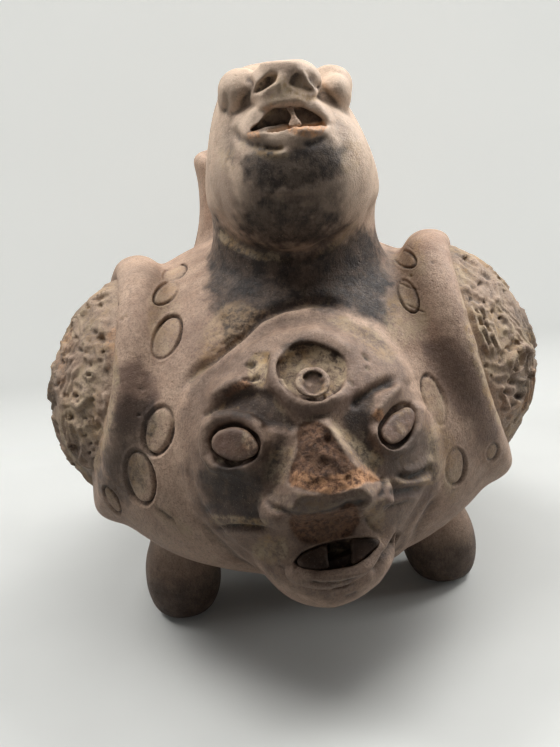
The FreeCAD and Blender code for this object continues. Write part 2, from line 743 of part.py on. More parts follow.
def lip(name, frame, arc, turn, sag, sink, sign, roll):
    """A bent coil of clay from one corner of a mouth to the other. Its arc passes through both
    corners, which lie sink behind the frame, and through the middle of the lip."""
    coil = primitive("Torus", name, Radius1=arc, Radius2=roll, Angle3=turn)
    rise = math.sqrt(size(sag) ** 2 - size(sink) ** 2)
    lean = math.degrees(math.atan2(size(sink), sign * rise))
    place = shift(frame, out=-size(sink)) * Placement(Vector(), Rotation(Vector(1, 0, 0), lean))
    back = Rotation(Vector(0, 0, 1), 90 - size(turn) / 2)
    coil.Placement = place * Placement(Vector(0, size(sag) - size(arc), 0), back)
    return coil


def make_head(post, neck_tube):
    """The looking head: a hollow shell with a round jaw, open lips, a snout and bulging eyes."""
    dome = stacked("head_dome", HEAD_SECTION_SHARES)
    jaw_frame = head_frame(size("jaw_forward"), size("jaw_height"))
    jaw = lobe("jaw", jaw_frame, "jaw_half_width", "jaw_half_depth", "jaw_half_height")
    block = fuse("head_block", dome, cut("jaw_on_neck", jaw, post, neck_tube))
    hollow = stacked("head_hollow", HEAD_SECTION_SHARES[:-1], "head_wall")
    jaw_hollow = lobe("jaw_hollow", jaw_frame, "jaw_half_width_in", "jaw_half_depth_in", "jaw_half_height_in")
    height, _, forward = head_front(size("gape_height_share"))
    forward = max(forward, jaw_front(height)) + size("gape_clearance")
    gape_frame = head_frame(forward, height) * facing(Vector(), 0, size("gape_tilt"))
    opening = oval_prism(size("gape_width"), size("gape_height"), size("gape_depth"), gape_frame)
    gape = fixed_shape("gape", opening)
    height, _, forward = head_front(size("snout_height_share"))
    snout_frame = head_frame(forward + size("snout_clearance"), height)
    snout = lobe("snout", snout_frame, "snout_half_width", "snout_half_depth", "snout_half_height")
    nostrils = []
    for side, sign in (("left", -1), ("right", 1)):
        bore = primitive("Cone", f"{side}_nostril", Radius2="nostril_radius", Height="nostril_depth")
        bore.Radius1 = 0
        middle = snout_frame.Base + Vector(sign * size("nostril_spacing") / 2, -size("nostril_depth"), -size("nostril_drop"))
        bore.Placement = Placement(middle, Rotation(Vector(0, 0, 1), Vector(0, -1, 0)))
        bore.Placement = shift(bore.Placement, out=-size("nostril_depth"))
        nostrils.append(bore)
    shell = finish(cut("head_shell_cut", block, hollow, jaw_hollow, gape, *nostrils), "head_shell")
    finish(cut("snout_cut", snout, block, gape, *nostrils), "head_snout")
    lips = []
    for part, sign, fall in (("upper", 1, "upper"), ("lower", -1, "lower")):
        coil = lip(f"{part}_lip_coil", gape_frame, f"{part}_lip_arc", f"{part}_lip_turn", f"{part}_lip_sag", "gape_corner_sink", sign, "lip_roll")
        lips.append(coil)
    upper = finish(cut("upper_lip_cut", lips[0], block, snout, gape), "head_upper_lip")
    lower = finish(cut("lower_lip_cut", lips[1], block, lips[0], gape), "head_lower_lip")
    bridge = primitive("Cylinder", "bridge_rod", Radius="bridge_radius", Height="gape_width")
    stand = shift(gape_frame, right=size("bridge_offset"), up=-size("gape_width") / 2, out=-size("lip_roll"))
    bridge.Placement = stand * Placement(Vector(), Rotation(Vector(1, 0, 0), -90))
    span = doc.addObject("Part::Common", "bridge_span")
    span.Base, span.Tool = bridge, gape
    finish(cut("bridge_cut", span, shell, upper, lower), "head_mouth_bridge")
    for side, sign in (("left", -1), ("right", 1)):
        height, aside, forward = head_front(size("head_eye_height_share"), size("head_eye_side_share"))
        place = head_frame(forward + size("head_eye_clearance"), height, sign * aside)
        egg = lobe(f"{side}_head_eye", place, "head_eye_half_width", "head_eye_half_depth", "head_eye_half_length")
        finish(cut(f"{side}_head_eye_cut", egg, block, snout), f"head_{side}_eye")


def make_nose(frame):
    """The mask's nose: a wedge that widens and rises to its base, with its front broken flat."""
    root = size("mask_root_depth") / 2
    level = size("mask_rise")
    rows = (
        ("nose_top_above", 1, "nose_root_width", "nose_root_facet", "nose_root_rise"),
        ("nose_base_below", -1, "nose_base_width", "nose_base_facet", "nose_base_rise"),
        ("nose_lip_below", -1, "nose_base_width", "nose_base_facet", "nose_root_rise"),
    )
    wires = []
    for along, sign, width, facet, rise in rows:
        up = sign * size(along)
        surface = level - size("mask_dome") + math.sqrt(size("mask_dome") ** 2 - up**2)
        wide, flat, high = size(width) / 2, size(facet) / 2, surface + size(rise)
        corners = [Vector(-wide, up, surface - root), Vector(wide, up, surface - root), Vector(wide, up, surface), Vector(flat, up, high), Vector(-flat, up, high), Vector(-wide, up, surface)]
        wires.append(Part.makePolygon(corners + corners[:1]))
    return fixed_shape("nose_wedge", Part.makeLoft(wires, True, True), frame)


def make_mask(core, neck_solids, frame, vent):
    """The broad face on the front: a domed plate with a muzzle, and every coil and pellet on it."""
    dome_radius, rise = size("mask_dome"), size("mask_rise")
    dome = turned(
        "mask_dome",
        [(0, "mask_root"), ("mask_radius", "mask_root"), ("mask_radius", 0), (0, "mask_rise")],
        {2: ("mask_dome", 1)},
    )
    dome.Placement = frame
    muzzle_frame = shift(frame, up=-size("muzzle_drop"), out=-size("muzzle_sink"))
    muzzle = lobe("muzzle", muzzle_frame, "muzzle_half_width", "muzzle_half_height", "muzzle_half_depth")
    block = fuse("mask_block", dome, muzzle)
    front = size("muzzle_half_depth") - size("muzzle_sink")
    mouth_turn = Placement(Vector(), Rotation(Vector(0, 0, 1), size("mouth_lean")))
    mouth_frame = shift(frame, up=-size("mouth_drop"), out=front) * mouth_turn
    depth = size("mouth_depth")
    mouth = fixed_shape("mouth", oval_prism(size("mouth_width"), size("mouth_height"), depth, mouth_frame))
    hollows = [mouth, vent]

    def spot(right, up, spin=0):
        return on_dome(frame, dome_radius, rise, right, up, spin)

    forehead = spot(0, size("forehead_above"))
    pit = primitive("Cylinder", "forehead_hollow", Radius="forehead_hollow_radius", Height="mask_rise")
    pit.Placement = shift(forehead, out=-size("forehead_hollow_depth"))
    hollows.append(pit)
    eyes = {}
    for side, sign in (("left", -1), ("right", 1)):
        eyes[side] = spot(sign * size("eye_spacing") / 2, size("eye_above"), 35 if sign > 0 else 0)
        socket = primitive("Cylinder", f"{side}_socket", Radius="eye_hollow_radius", Height="mask_rise")
        socket.Placement = shift(eyes[side], out=-size("eye_socket_depth"))
        hollows.append(socket)
    plate = finish(cut("mask_plate_cut", block, core, *neck_solids, *hollows), "mask_plate")

    wedge = make_nose(frame)
    wings = []
    for side, sign in (("left", -1), ("right", 1)):
        place = spot(sign * size("nose_wing_spacing") / 2, -size("nose_wing_below"))
        wings.append(lobe(f"{side}_nose_wing", place, "nose_wing_half_width", "nose_wing_half_height", "nose_wing_half_depth"))
    nose = fuse("nose_block", wedge, *wings)
    finish(cut("nose_cut", nose, block), "mask_nose")

    ring = primitive("Torus", "forehead_coil", Radius1="forehead_ring_radius", Radius2="forehead_ring_roll")
    ring.Placement = forehead
    finish(cut("forehead_ring_cut", ring, plate, nose), "mask_forehead_ring")
    boss = primitive("Torus", "forehead_boss_coil", Radius1="forehead_boss_radius", Radius2="forehead_boss_roll")
    boss.Placement = shift(forehead, out=-size("forehead_hollow_depth"))
    finish(cut("forehead_boss_cut", boss, plate), "mask_forehead_boss")
    for side, sign in (("left", -1), ("right", 1)):
        coil = primitive("Torus", f"{side}_eye_coil", Radius1="eye_ring_radius", Radius2="eye_ring_roll")
        coil.Placement = eyes[side]
        finish(cut(f"{side}_eye_ring_cut", coil, plate), f"mask_{side}_eye_ring")
        egg = lobe(f"{side}_pellet", shift(eyes[side], out=-size("eye_socket_depth")), "eye_pellet_half_width", "eye_pellet_half_height", "eye_pellet_half_depth")
        finish(cut(f"{side}_pellet_cut", egg, plate), f"mask_{side}_eye_pellet")
        place = spot(sign * size("eye_spacing") / 2, size("brow_above"), -sign * 20)
        brow = lobe(f"{side}_brow_roll", place, "brow_half_length", "brow_half_width", "brow_rise")
        finish(cut(f"{side}_brow_cut", brow, block, ring, coil), f"mask_{side}_brow")
        folds = []
        for number in range(2 if sign < 0 else 3):
            place = spot(sign * size("fold_reach"), -size("fold_below") - number * size("fold_spacing"), sign * 8 * number)
            roll = lobe(f"{side}_fold_{number}", place, "fold_half_length", "fold_half_width", "fold_rise")
            folds.append(cut(f"{side}_fold_cut_{number}", roll, block, core, nose, coil))
        finish(group(f"{side}_folds", *folds), f"mask_{side}_cheek_folds")

    upper = lip("mouth_upper_coil", mouth_frame, "mouth_upper_arc", "mouth_upper_turn", "mouth_upper_sag", "mouth_corner_sink", 1, "mouth_lip_roll")
    lower = lip("mouth_lower_coil", mouth_frame, "mouth_lower_arc", "mouth_lower_turn", "mouth_lower_sag", "mouth_corner_sink", -1, "mouth_lip_roll")
    finish(cut("mouth_upper_cut", upper, block, nose, mouth), "mask_upper_lip")
    finish(cut("mouth_lower_cut", lower, block, upper, mouth), "mask_lower_lip")
    gap, reach = size("tooth_gap") / 2, size("mouth_width")
    for side, sign in (("left", -1), ("right", 1)):
        plug = oval_prism(size("mouth_width"), size("mouth_height"), depth / 2, shift(mouth_frame, out=-depth / 2))
        low = shift(mouth_frame, out=-depth)
        keep = Part.makeBox(reach, 2 * reach, size("tooth_thickness"), Vector(gap if sign > 0 else -gap - reach, -reach, 0))
        keep.Placement = low
        tooth = fixed_shape(f"{side}_tooth_block", plug.common(keep))
        finish(cut(f"{side}_tooth_cut", tooth, vent), f"mask_{side}_tooth")
    return plate


def main():
    core = make_body_core()
    post, neck_hole = make_neck(core)
    spout_hole = make_spout(core)
    make_feet(core)
    stamps = make_stamps()
    mask_middle = Vector(size("mask_offset"), -size("mask_forward"), size("mask_centre_height"))
    mask_frame = facing(mask_middle, 0, size("mask_tilt"), size("mask_lean"))
    vent = primitive("Cylinder", "mouth_vent", Radius="mouth_vent_radius", Height="body_radius")
    vent.Placement = shift(mask_frame, up=-size("mouth_drop"), out=-size("body_radius") / 2)
    make_bowls(core, stamps, neck_hole, spout_hole, vent)
    neck_tube = doc.getObject("neck_tube")
    make_head(post, neck_tube)
    make_mask(core, (post, neck_tube), mask_frame, vent)
    for side in ("left", "right"):
        collar = make_medallion(side, core, size(f"{side}_medallion_cant"))
        finish(collar, f"{side}_collar")
    doc.recompute()
    broken = [item.Label for item in doc.Objects if {"Invalid", "Error"} & set(item.State)]
    if broken:
        raise RuntimeError(f"these objects failed: {broken}")
    os.makedirs("parts", exist_ok=True)
    for piece in pieces:
        shape = piece.Shape
        if shape.isNull() or not shape.isValid() or not shape.Solids:
            raise RuntimeError(f"{piece.Label} has no valid solid")
        print(piece.Label, len(shape.Solids), round(shape.Volume))
        shape.exportStep(f"parts/{piece.Label}.step")


main()
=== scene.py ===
"""A hand-built clay effigy jar: a squat body on bulb feet, a broad face, two relief medallions,
a looking head on a stout neck and a spout behind it, luted together, burnished and fired."""
import math

import bmesh
import bpy
import numpy as np
from mathutils import Matrix, Vector
from mathutils.kdtree import KDTree


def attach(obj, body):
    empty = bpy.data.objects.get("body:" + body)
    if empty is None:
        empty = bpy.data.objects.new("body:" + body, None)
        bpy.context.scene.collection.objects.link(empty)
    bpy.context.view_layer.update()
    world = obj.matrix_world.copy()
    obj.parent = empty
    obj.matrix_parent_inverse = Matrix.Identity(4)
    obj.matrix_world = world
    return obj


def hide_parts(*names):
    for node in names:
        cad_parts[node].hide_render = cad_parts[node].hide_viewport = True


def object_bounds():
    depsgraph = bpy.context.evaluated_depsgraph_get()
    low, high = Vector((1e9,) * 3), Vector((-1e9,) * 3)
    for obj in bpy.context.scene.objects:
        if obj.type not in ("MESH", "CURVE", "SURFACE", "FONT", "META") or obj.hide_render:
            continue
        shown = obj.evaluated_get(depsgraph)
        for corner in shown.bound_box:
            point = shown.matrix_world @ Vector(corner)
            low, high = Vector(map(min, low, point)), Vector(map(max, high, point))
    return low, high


bl_info = {
    "name": "Effigy jar",
    "version": (1, 0, 0),
    "blender": (4, 5, 0),
    "location": "3D View > Sidebar > Effigy jar",
    "description": "Models and finishes a hand-built clay effigy jar",
    "category": "Object",
}

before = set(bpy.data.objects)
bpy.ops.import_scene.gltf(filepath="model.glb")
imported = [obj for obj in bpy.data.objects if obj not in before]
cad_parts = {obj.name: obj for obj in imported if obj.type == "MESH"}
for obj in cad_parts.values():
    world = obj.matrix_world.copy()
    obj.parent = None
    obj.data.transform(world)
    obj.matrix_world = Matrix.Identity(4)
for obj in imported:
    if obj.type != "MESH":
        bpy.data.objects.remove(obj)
CAD_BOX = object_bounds()
MM = 0.001

# The photograph's camera, in millimetres and degrees.
LENS_PIXELS = 900.0
PICTURE = (560, 747)
CAMERA_AZIMUTH, CAMERA_ELEVATION, CAMERA_ROLL = -6.0, 22.0, 4.2
CAMERA_DISTANCE = 370.0
CAMERA_TARGET = (-4.0, 0.0, 92.0)

# Where the body, the head and the spout part, in millimetres: heights, a depth and half a width.
BODY_HEIGHT = 80.0
NECK_CUT = 146.0
SPOUT_CUT = 22.0
NECK_HALF = 45.0

LUTED_NODES = (
    "body_lower_bowl", "body_upper_bowl", "neck", "spout", "spout_lip", "front_left_foot",
    "front_right_foot", "rear_foot", "head_shell", "mask_plate", "left_collar", "right_collar",
)
HEAD_NODES = (
    "neck", "head_shell", "head_snout", "head_upper_lip", "head_lower_lip", "head_left_eye",
    "head_right_eye",
)
FACE_NODES = (
    "mask_plate", "mask_nose", "mask_forehead_ring", "mask_left_eye_ring", "mask_right_eye_ring",
    "mask_left_brow", "mask_right_brow", "mask_left_cheek_folds", "mask_right_cheek_folds",
    "mask_upper_lip", "mask_lower_lip",
)

# What the face is wiped up from; its rings, brows and folds are then worked by strokes.
FACE_BASE = ("mask_plate", "mask_nose", "mask_lower_lip")


# --- the photograph's camera ---------------------------------------------------------------


def camera_axes():
    """Right, up and back of the photograph's camera, and where it stands, in millimetres."""
    az, el, roll = (math.radians(a) for a in (CAMERA_AZIMUTH, CAMERA_ELEVATION, CAMERA_ROLL))
    back = Vector((math.sin(az) * math.cos(el), -math.cos(az) * math.cos(el), math.sin(el)))
    level_right = (-back).cross(Vector((0, 0, 1))).normalized()
    level_up = level_right.cross(-back)
    right = level_right * math.cos(roll) - level_up * math.sin(roll)
    up = level_up * math.cos(roll) + level_right * math.sin(roll)
    return right, up, back, Vector(CAMERA_TARGET) + back * CAMERA_DISTANCE


def sight(x, y):
    """The ray, in metres, that the photograph's camera sees at a pixel."""
    right, up, back, place = camera_axes()
    middle = (PICTURE[0] / 2, PICTURE[1] / 2)
    way = -back + right * (x - middle[0]) / LENS_PIXELS - up * (y - middle[1]) / LENS_PIXELS
    return place * MM, way.normalized()


# --- meshes as arrays ----------------------------------------------------------------------


def points_of(mesh):
    flat = np.empty(len(mesh.vertices) * 3, np.float32)
    mesh.vertices.foreach_get("co", flat)
    return flat.reshape(-1, 3).astype(np.float64)


def set_points(mesh, points):
    mesh.vertices.foreach_set("co", points.astype(np.float32).ravel())
    mesh.update()


def normals_of(mesh):
    flat = np.empty(len(mesh.vertices) * 3, np.float32)
    mesh.vertex_normals.foreach_get("vector", flat)
    return flat.reshape(-1, 3).astype(np.float64)


def build_mesh(name, points, faces):
    mesh = bpy.data.meshes.new(name)
    mesh.from_pydata([tuple(p) for p in points], [], [tuple(f) for f in faces])
    mesh.validate()
    return mesh


def taken(work, name):
    """What was built in a bmesh, as a mesh."""
    mesh = bpy.data.meshes.new(name)
    work.to_mesh(mesh)
    work.free()
    return mesh


def node_mesh(names, label):
    """Copies of CAD nodes joined in one mesh, with their split corners closed up."""
    work = bmesh.new()
    for name in names:
        work.from_mesh(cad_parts[name].data)
    bmesh.ops.remove_doubles(work, verts=work.verts, dist=2e-6)
    return taken(work, label)


def scratch_object(mesh, label="scratch"):
    item = bpy.data.objects.new(label, mesh)
    bpy.context.scene.collection.objects.link(item)
    return item


def with_modifier(mesh, kind, **settings):
    """The mesh as one modifier leaves it."""
    item = scratch_object(mesh)
    modifier = item.modifiers.new(kind.lower(), kind)
    for key, value in settings.items():
        setattr(modifier, key, value)
    graph = bpy.context.evaluated_depsgraph_get()
    made = bpy.data.meshes.new_from_object(item.evaluated_get(graph))
    bpy.data.objects.remove(item)
    return made


def remesh(mesh, voxel):
    return with_modifier(mesh, "REMESH", mode="VOXEL", voxel_size=voxel * MM, use_smooth_shade=True)


def carve(mesh, tool, operation):
    """Cuts a closed mesh with a closed tool mesh."""
    other = scratch_object(tool, "tool")
    made = with_modifier(mesh, "BOOLEAN", operation=operation, object=other, solver="MANIFOLD")
    bpy.data.objects.remove(other)
    return made


def box_tool(low, high):
    """A closed box, its corners in millimetres."""
    work = bmesh.new()
    bmesh.ops.create_cube(work, size=1)
    low, high = Vector(low), Vector(high)
    for vert in work.verts:
        vert.co = Vector(((c + 0.5) * (h - l) + l) * MM for c, l, h in zip(vert.co, low, high))
    return taken(work, "box_tool")


def smoothed(mesh, reach, voxel):
    """The mesh of even quads wiped smooth over a reach in millimetres."""
    rounds = max(1, round(2 * reach**2 / (0.6 * voxel**2)))
    return with_modifier(mesh, "SMOOTH", factor=1.2, iterations=min(rounds, 90))


# --- noise in space ------------------------------------------------------------------------


def lattice(cells, seed):
    """A repeatable number from 0 to 1 for each whole-number cell."""
    mixed = (
        cells[..., 0] * 374761393 + cells[..., 1] * 668265263 + cells[..., 2] * 2147483647 + seed * 144665
    ) & 0xFFFFFFFF
    mixed = ((mixed ^ (mixed >> 13)) * 1274126177) & 0xFFFFFFFF
    return ((mixed ^ (mixed >> 16)) & 0xFFFF) / 65535.0


def noise(points, scale, seed=0):
    """Smooth noise from -1 to 1. points are in metres, and scale is the size of a lump in mm."""
    place = points / (scale * MM)
    cell = np.floor(place).astype(np.int64)
    part = place - cell
    part = part * part * (3 - 2 * part)
    total = np.zeros(len(points))
    for corner in range(8):
        shift = np.array([corner & 1, corner >> 1 & 1, corner >> 2 & 1])
        weight = np.prod(np.where(shift, part, 1 - part), axis=1)
        total += weight * lattice(cell + shift, seed)
    return total * 2 - 1


def layered_noise(points, scale, layers=3, seed=0):
    total, size = np.zeros(len(points)), 1.0
    for layer in range(layers):
        total += size * noise(points, scale / 2**layer, seed + layer)
        size *= 0.5
    return total / (2 - 2.0 ** (1 - layers))


def ramp(values, low, high):
    part = np.clip((values - low) / (high - low), 0, 1)
    return part * part * (3 - 2 * part)


def eased_inside(points, soft=0.8):
    """Points eased back inside the CAD box over its last bit, in millimetres."""
    for axis, sign in ((0, 1), (0, -1), (1, 1), (1, -1), (2, 1)):
        limit = CAD_BOX[1 if sign > 0 else 0][axis]
        over = sign * (points[:, axis] - limit) / MM + soft
        eased = limit + sign * (soft * (1 - np.exp(-np.maximum(over, 0) / soft)) - soft) * MM
        points[:, axis] = np.where(over > 0, eased, points[:, axis])
    return points


# --- strokes placed by sight ---------------------------------------------------------------


def distance_to_path(points, path):
    """Each point's distance to a run of straight pieces, and how far along it, from 0 to 1."""
    best = np.full(len(points), 1e9)
    along = np.zeros(len(points))
    lengths = [np.linalg.norm(b - a) for a, b in zip(path, path[1:])]
    total, done = max(sum(lengths), 1e-9), 0.0
    for a, b, length in zip(path, path[1:], lengths):
        way = (b - a) / max(length, 1e-9)
        part = np.clip((points - a) @ way, 0, length)
        gap = np.linalg.norm(points - a - part[:, None] * way, axis=1)
        closer = gap < best
        best[closer] = gap[closer]
        along[closer] = (done + part[closer]) / total
        done += length
    return best, along


def sighted(points):
    """Where the photograph's camera sees points, in its pixels, and how far off they are in mm."""
    right, up, back, place = (np.array(v) for v in camera_axes())
    way = points / MM - place
    depth = -(way @ back)
    x = PICTURE[0] / 2 + LENS_PIXELS * (way @ right) / depth
    y = PICTURE[1] / 2 - LENS_PIXELS * (way @ up) / depth
    return np.stack([x, y], axis=1), depth


DEPTH_CELL = 4


class Clay:
    """A mesh worked by strokes. Strokes named by pixel fall on the clay seen at that pixel."""

    def __init__(self, mesh):
        self.mesh = mesh
        self.masks = {}
        self.refresh()

    def refresh(self):
        self.points = points_of(self.mesh)
        self.normals = normals_of(self.mesh)
        self.pixels, self.depth = sighted(self.points)
        place = np.array(camera_axes()[3]) * MM
        toward = place - self.points
        toward /= np.linalg.norm(toward, axis=1)[:, None]
        self.facing = ramp(np.einsum("ij,ij->i", self.normals, toward), -0.05, 0.12)
        cells = np.clip(self.pixels // DEPTH_CELL, 0, np.array(PICTURE) // DEPTH_CELL + 1).astype(int)
        self.first = np.full((PICTURE[0] // DEPTH_CELL + 2, PICTURE[1] // DEPTH_CELL + 2), np.inf)
        seen = self.facing > 0.3
        np.minimum.at(self.first, tuple(cells[seen].T), self.depth[seen])

    def nearest_depth(self, x, y):
        """How far off the first clay behind a pixel is, in mm."""
        column, row = int(x // DEPTH_CELL), int(y // DEPTH_CELL)
        return self.first[max(0, column - 1):column + 2, max(0, row - 1):row + 2].min()

    def window(self, path, margin):
        """The points that a stroke along pixels can reach: front ones no deeper than its clay."""
        low, high = path.min(0) - margin, path.max(0) + margin
        chosen = np.all((self.pixels > low) & (self.pixels < high), axis=1) & (self.facing > 0)
        chosen = np.flatnonzero(chosen)
        if not len(chosen):
            return chosen
        depths = [self.nearest_depth(*p) for p in path]
        depths = [d for d in depths if d < np.inf]
        return chosen[self.depth[chosen] < max(depths) + 14] if depths else chosen[:0]

    def stroke(self, path, width):
        """The points near a run of pixels, how near each is as a share of width, and how far
        along the run it is."""
        path = np.array(path, float)
        chosen = self.window(path, width * 3)
        if len(path) == 1:
            gap = np.linalg.norm(self.pixels[chosen] - path[0], axis=1)
            return chosen, gap / width, np.zeros(len(chosen))
        gap, along = distance_to_path(self.pixels[chosen], path)
        return chosen, gap / width, along

    def push(self, chosen, amount):
        """Moves points out along their normals, in mm."""
        self.points[chosen] += self.normals[chosen] * (amount * self.facing[chosen] * MM)[:, None]

    def press(self, path, width, depth, taper=0.25, lip=0.0):
        """A groove along pixels: half its width in pixels and its depth in mm, fading out toward
        both ends, with the clay that it pushed aside standing up beside it."""
        chosen, gap, along = self.stroke(path, width)
        fade = np.ones(len(chosen))
        if taper and len(path) > 1:
            fade = ramp(along, -0.01, taper) * ramp(1 - along, -0.01, taper)
        amount = -depth * np.exp(-gap**2)
        amount += lip * np.exp(-((gap - 1.9) ** 2) * 1.6)
        self.push(chosen, amount * fade)
        self.mark("pressed", chosen, np.exp(-gap**2) * fade * min(1, depth))

    def oval(self, middle, half_length, half_width, lean, line, depth, pad=0.0, deep_side=0.0, strength=0.34):
        """The ring that a cut cane leaves. Lean is anticlockwise from upright, in degrees."""
        path = np.array([middle], float)
        chosen = self.window(path, half_length * 1.5)
        turn = math.radians(lean)
        x, y = (self.pixels[chosen] - path[0]).T
        y = -y
        long = x * -math.sin(turn) + y * math.cos(turn)
        short = x * math.cos(turn) + y * math.sin(turn)
        ratio = np.hypot(long / half_length, short / half_width)
        reach = np.hypot(long, short)
        gap = (ratio - 1) * reach / np.maximum(ratio, 0.05)
        round_ = np.arctan2(long, short)
        uneven = 1 - strength + strength * np.cos(round_ - math.radians(deep_side))
        uneven *= 1 + 0.25 * noise(self.points[chosen], 3, 7)
        groove = np.exp(-((gap / line) ** 2))
        inside = ramp(-gap, 0, line * 2.5)
        self.push(
            chosen, -depth * groove * uneven + pad * inside + 0.12 * np.exp(-(((gap - line * 2.2) / line) ** 2))
        )
        self.mark("pressed", chosen, groove * np.clip(uneven * 1.5 - 0.2, 0, 1))
        self.mark("dust", chosen, 0.4 * inside)

    def dab(self, middle, radius, amount, squash=1.0, lean=0.0):
        """A soft dent or swelling round a pixel: its radius in pixels, its height in mm."""
        chosen = self.window(np.array([middle], float), radius * 2.2)
        x, y = (self.pixels[chosen] - np.array(middle, float)).T
        turn = math.radians(lean)
        a, b = x * math.cos(turn) - y * math.sin(turn), x * math.sin(turn) + y * math.cos(turn)
        gap = np.hypot(a / radius, b / (radius * squash))
        self.push(chosen, amount * np.exp(-(gap**2)))

    def patch(self, corners, feather=2.0):
        """How far inside an outline of pixels each point lies, from 0 to 1."""
        corners = np.array(corners, float)
        chosen = self.window(corners, feather * 2)
        place = self.pixels[chosen]
        inside = np.zeros(len(chosen), bool)
        for a, b in zip(corners, np.roll(corners, -1, axis=0)):
            crosses = (a[1] > place[:, 1]) != (b[1] > place[:, 1])
            level = (b[0] - a[0]) * (place[:, 1] - a[1]) / (b[1] - a[1] + 1e-12) + a[0]
            inside ^= crosses & (place[:, 0] < level)
        gap, _ = distance_to_path(place, np.vstack([corners, corners[:1]]))
        signed = np.where(inside, gap, -gap)
        return chosen, ramp(signed, -feather, feather)

    def roll(self, path, width, height, taper=0.2, sharp=1.0):
        """A ridge of clay along pixels: half its width in pixels and its height in mm."""
        chosen, gap, along = self.stroke(path, width)
        fade = ramp(along, -0.01, taper) * ramp(1 - along, -0.01, taper) if taper else 1.0
        shape = np.exp(-(gap ** (2 * sharp)))
        self.push(chosen, height * shape * fade)
        self.mark("ridge", chosen, 0.5 * ramp(shape, 0.6, 1) * fade)

    def sink(self, corners, feather, depth, mark=0.0):
        """Presses an outlined patch down, or lifts it where depth is below 0, in mm."""
        chosen, inside = self.patch(corners, feather)
        self.push(chosen, -depth * inside)
        if mark:
            self.mark("pressed", chosen, mark * inside)

    def roughen(self, corners, feather, height, size=1.6, seed=5):
        """Torn or crusted clay inside an outline: its lumps' height and size in mm."""
        chosen, inside = self.patch(corners, feather)
        lumps = layered_noise(self.points[chosen], size * 2, 3, seed)
        self.push(chosen, height * lumps * inside)

    def stain_and_shade(self, name, corners, feather, value, ragged=0.5):
        """Lays a mask over an outline of pixels, for stains and painted shade alike, its edge as ragged as a
        sooty smudge or rubbing leaves it.
        """
        chosen, inside = self.patch(corners, feather * 1.3)
        uneven = layered_noise(self.points[chosen], 9, 4, 131) + 0.5 * layered_noise(
            self.points[chosen], 2.2, 2, 137
        )
        self.mark(name, chosen, value * ramp(inside + ragged * uneven * ramp(inside, 0, 0.25), 0.18, 0.85))

    def mark(self, name, chosen, value):
        mask = self.masks.setdefault(name, np.zeros(len(self.points)))
        mask[chosen] = np.maximum(mask[chosen], value * self.facing[chosen])

    def settle(self):
        set_points(self.mesh, eased_inside(self.points))
        self.refresh()

    def rework(self, voxel, reach):
        """Gives the worked clay an even mesh again, and carries its marks over."""
        tree, masks = self.tree(), self.masks
        self.mesh = smoothed(remesh(self.mesh, voxel), reach, voxel)
        self.refresh()
        nearest = np.array([tree.find(point)[1] for point in self.points])
        self.masks = {name: values[nearest] for name, values in masks.items()}

    def tree(self):
        tree = KDTree(len(self.points))
        for index, point in enumerate(self.points):
            tree.insert(point, index)
        tree.balance()
        return tree

    def mark_piece(self, piece, tree=None):
        """Writes the clay's marks on a piece that was cut from it, for its material to read."""
        nearest = slice(None)
        if piece is not self.mesh:
            tree = tree or self.tree()
            nearest = np.array([tree.find(point)[1] for point in points_of(piece)])
        for name in MASKS:
            values = np.clip(self.masks.get(name, np.zeros(len(self.points))), 0, 1)[nearest]
            layer = piece.attributes.get(name) or piece.attributes.new(name, "FLOAT", "POINT")
            layer.data.foreach_set("value", values.astype(np.float32))
        return piece


# The soot mask also carries painted shade; deep is painted shade over the face, and pale a painted highlight up
# the head.
MASKS = ("hollow", "ridge", "pressed", "deep", "pale", "soot_and_shade", "dust", "burnish", "broken", "rust")


def find_hollows(clay, voxel):
    """Marks where the clay is hollow, which holds dust and is darkened as painted shade, and where it stands
    out, which wears.
    """
    for reach, low, high, share in ((0.9, 0.03, 0.2, 1.0), (2.5, 0.1, 0.8, 0.8)):
        even = points_of(smoothed(clay.mesh, reach, voxel))
        depth = np.einsum("ij,ij->i", even - clay.points, clay.normals) / MM
        for name, sign in (("hollow", 1), ("ridge", -1)):
            mask = clay.masks.setdefault(name, np.zeros(len(clay.points)))
            mask[:] = np.maximum(mask, share * ramp(sign * depth, low, high))


def shade_smooth(mesh):
    mesh.shade_smooth()
    mesh.set_sharp_from_angle(angle=math.radians(58))


def add_piece(name, mesh, nodes, material):
    """A finished piece that rides on the jar and stands for CAD nodes."""
    mesh.name = name
    mesh.materials.clear()
    mesh.materials.append(material)
    shade_smooth(mesh)
    item = bpy.data.objects.new(name, mesh)
    bpy.context.scene.collection.objects.link(item)
    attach(item, "root")
    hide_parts(*nodes)
    return item


# --- finishes ------------------------------------------------------------------------------


def linear(red, green, blue):
    """A colour read off, from 0 to 255, as Blender's linear colour."""
    parts = [c / 255 for c in (red, green, blue)]
    return tuple(c / 12.92 if c <= 0.04045 else ((c + 0.055) / 1.055) ** 2.4 for c in parts) + (1.0,)


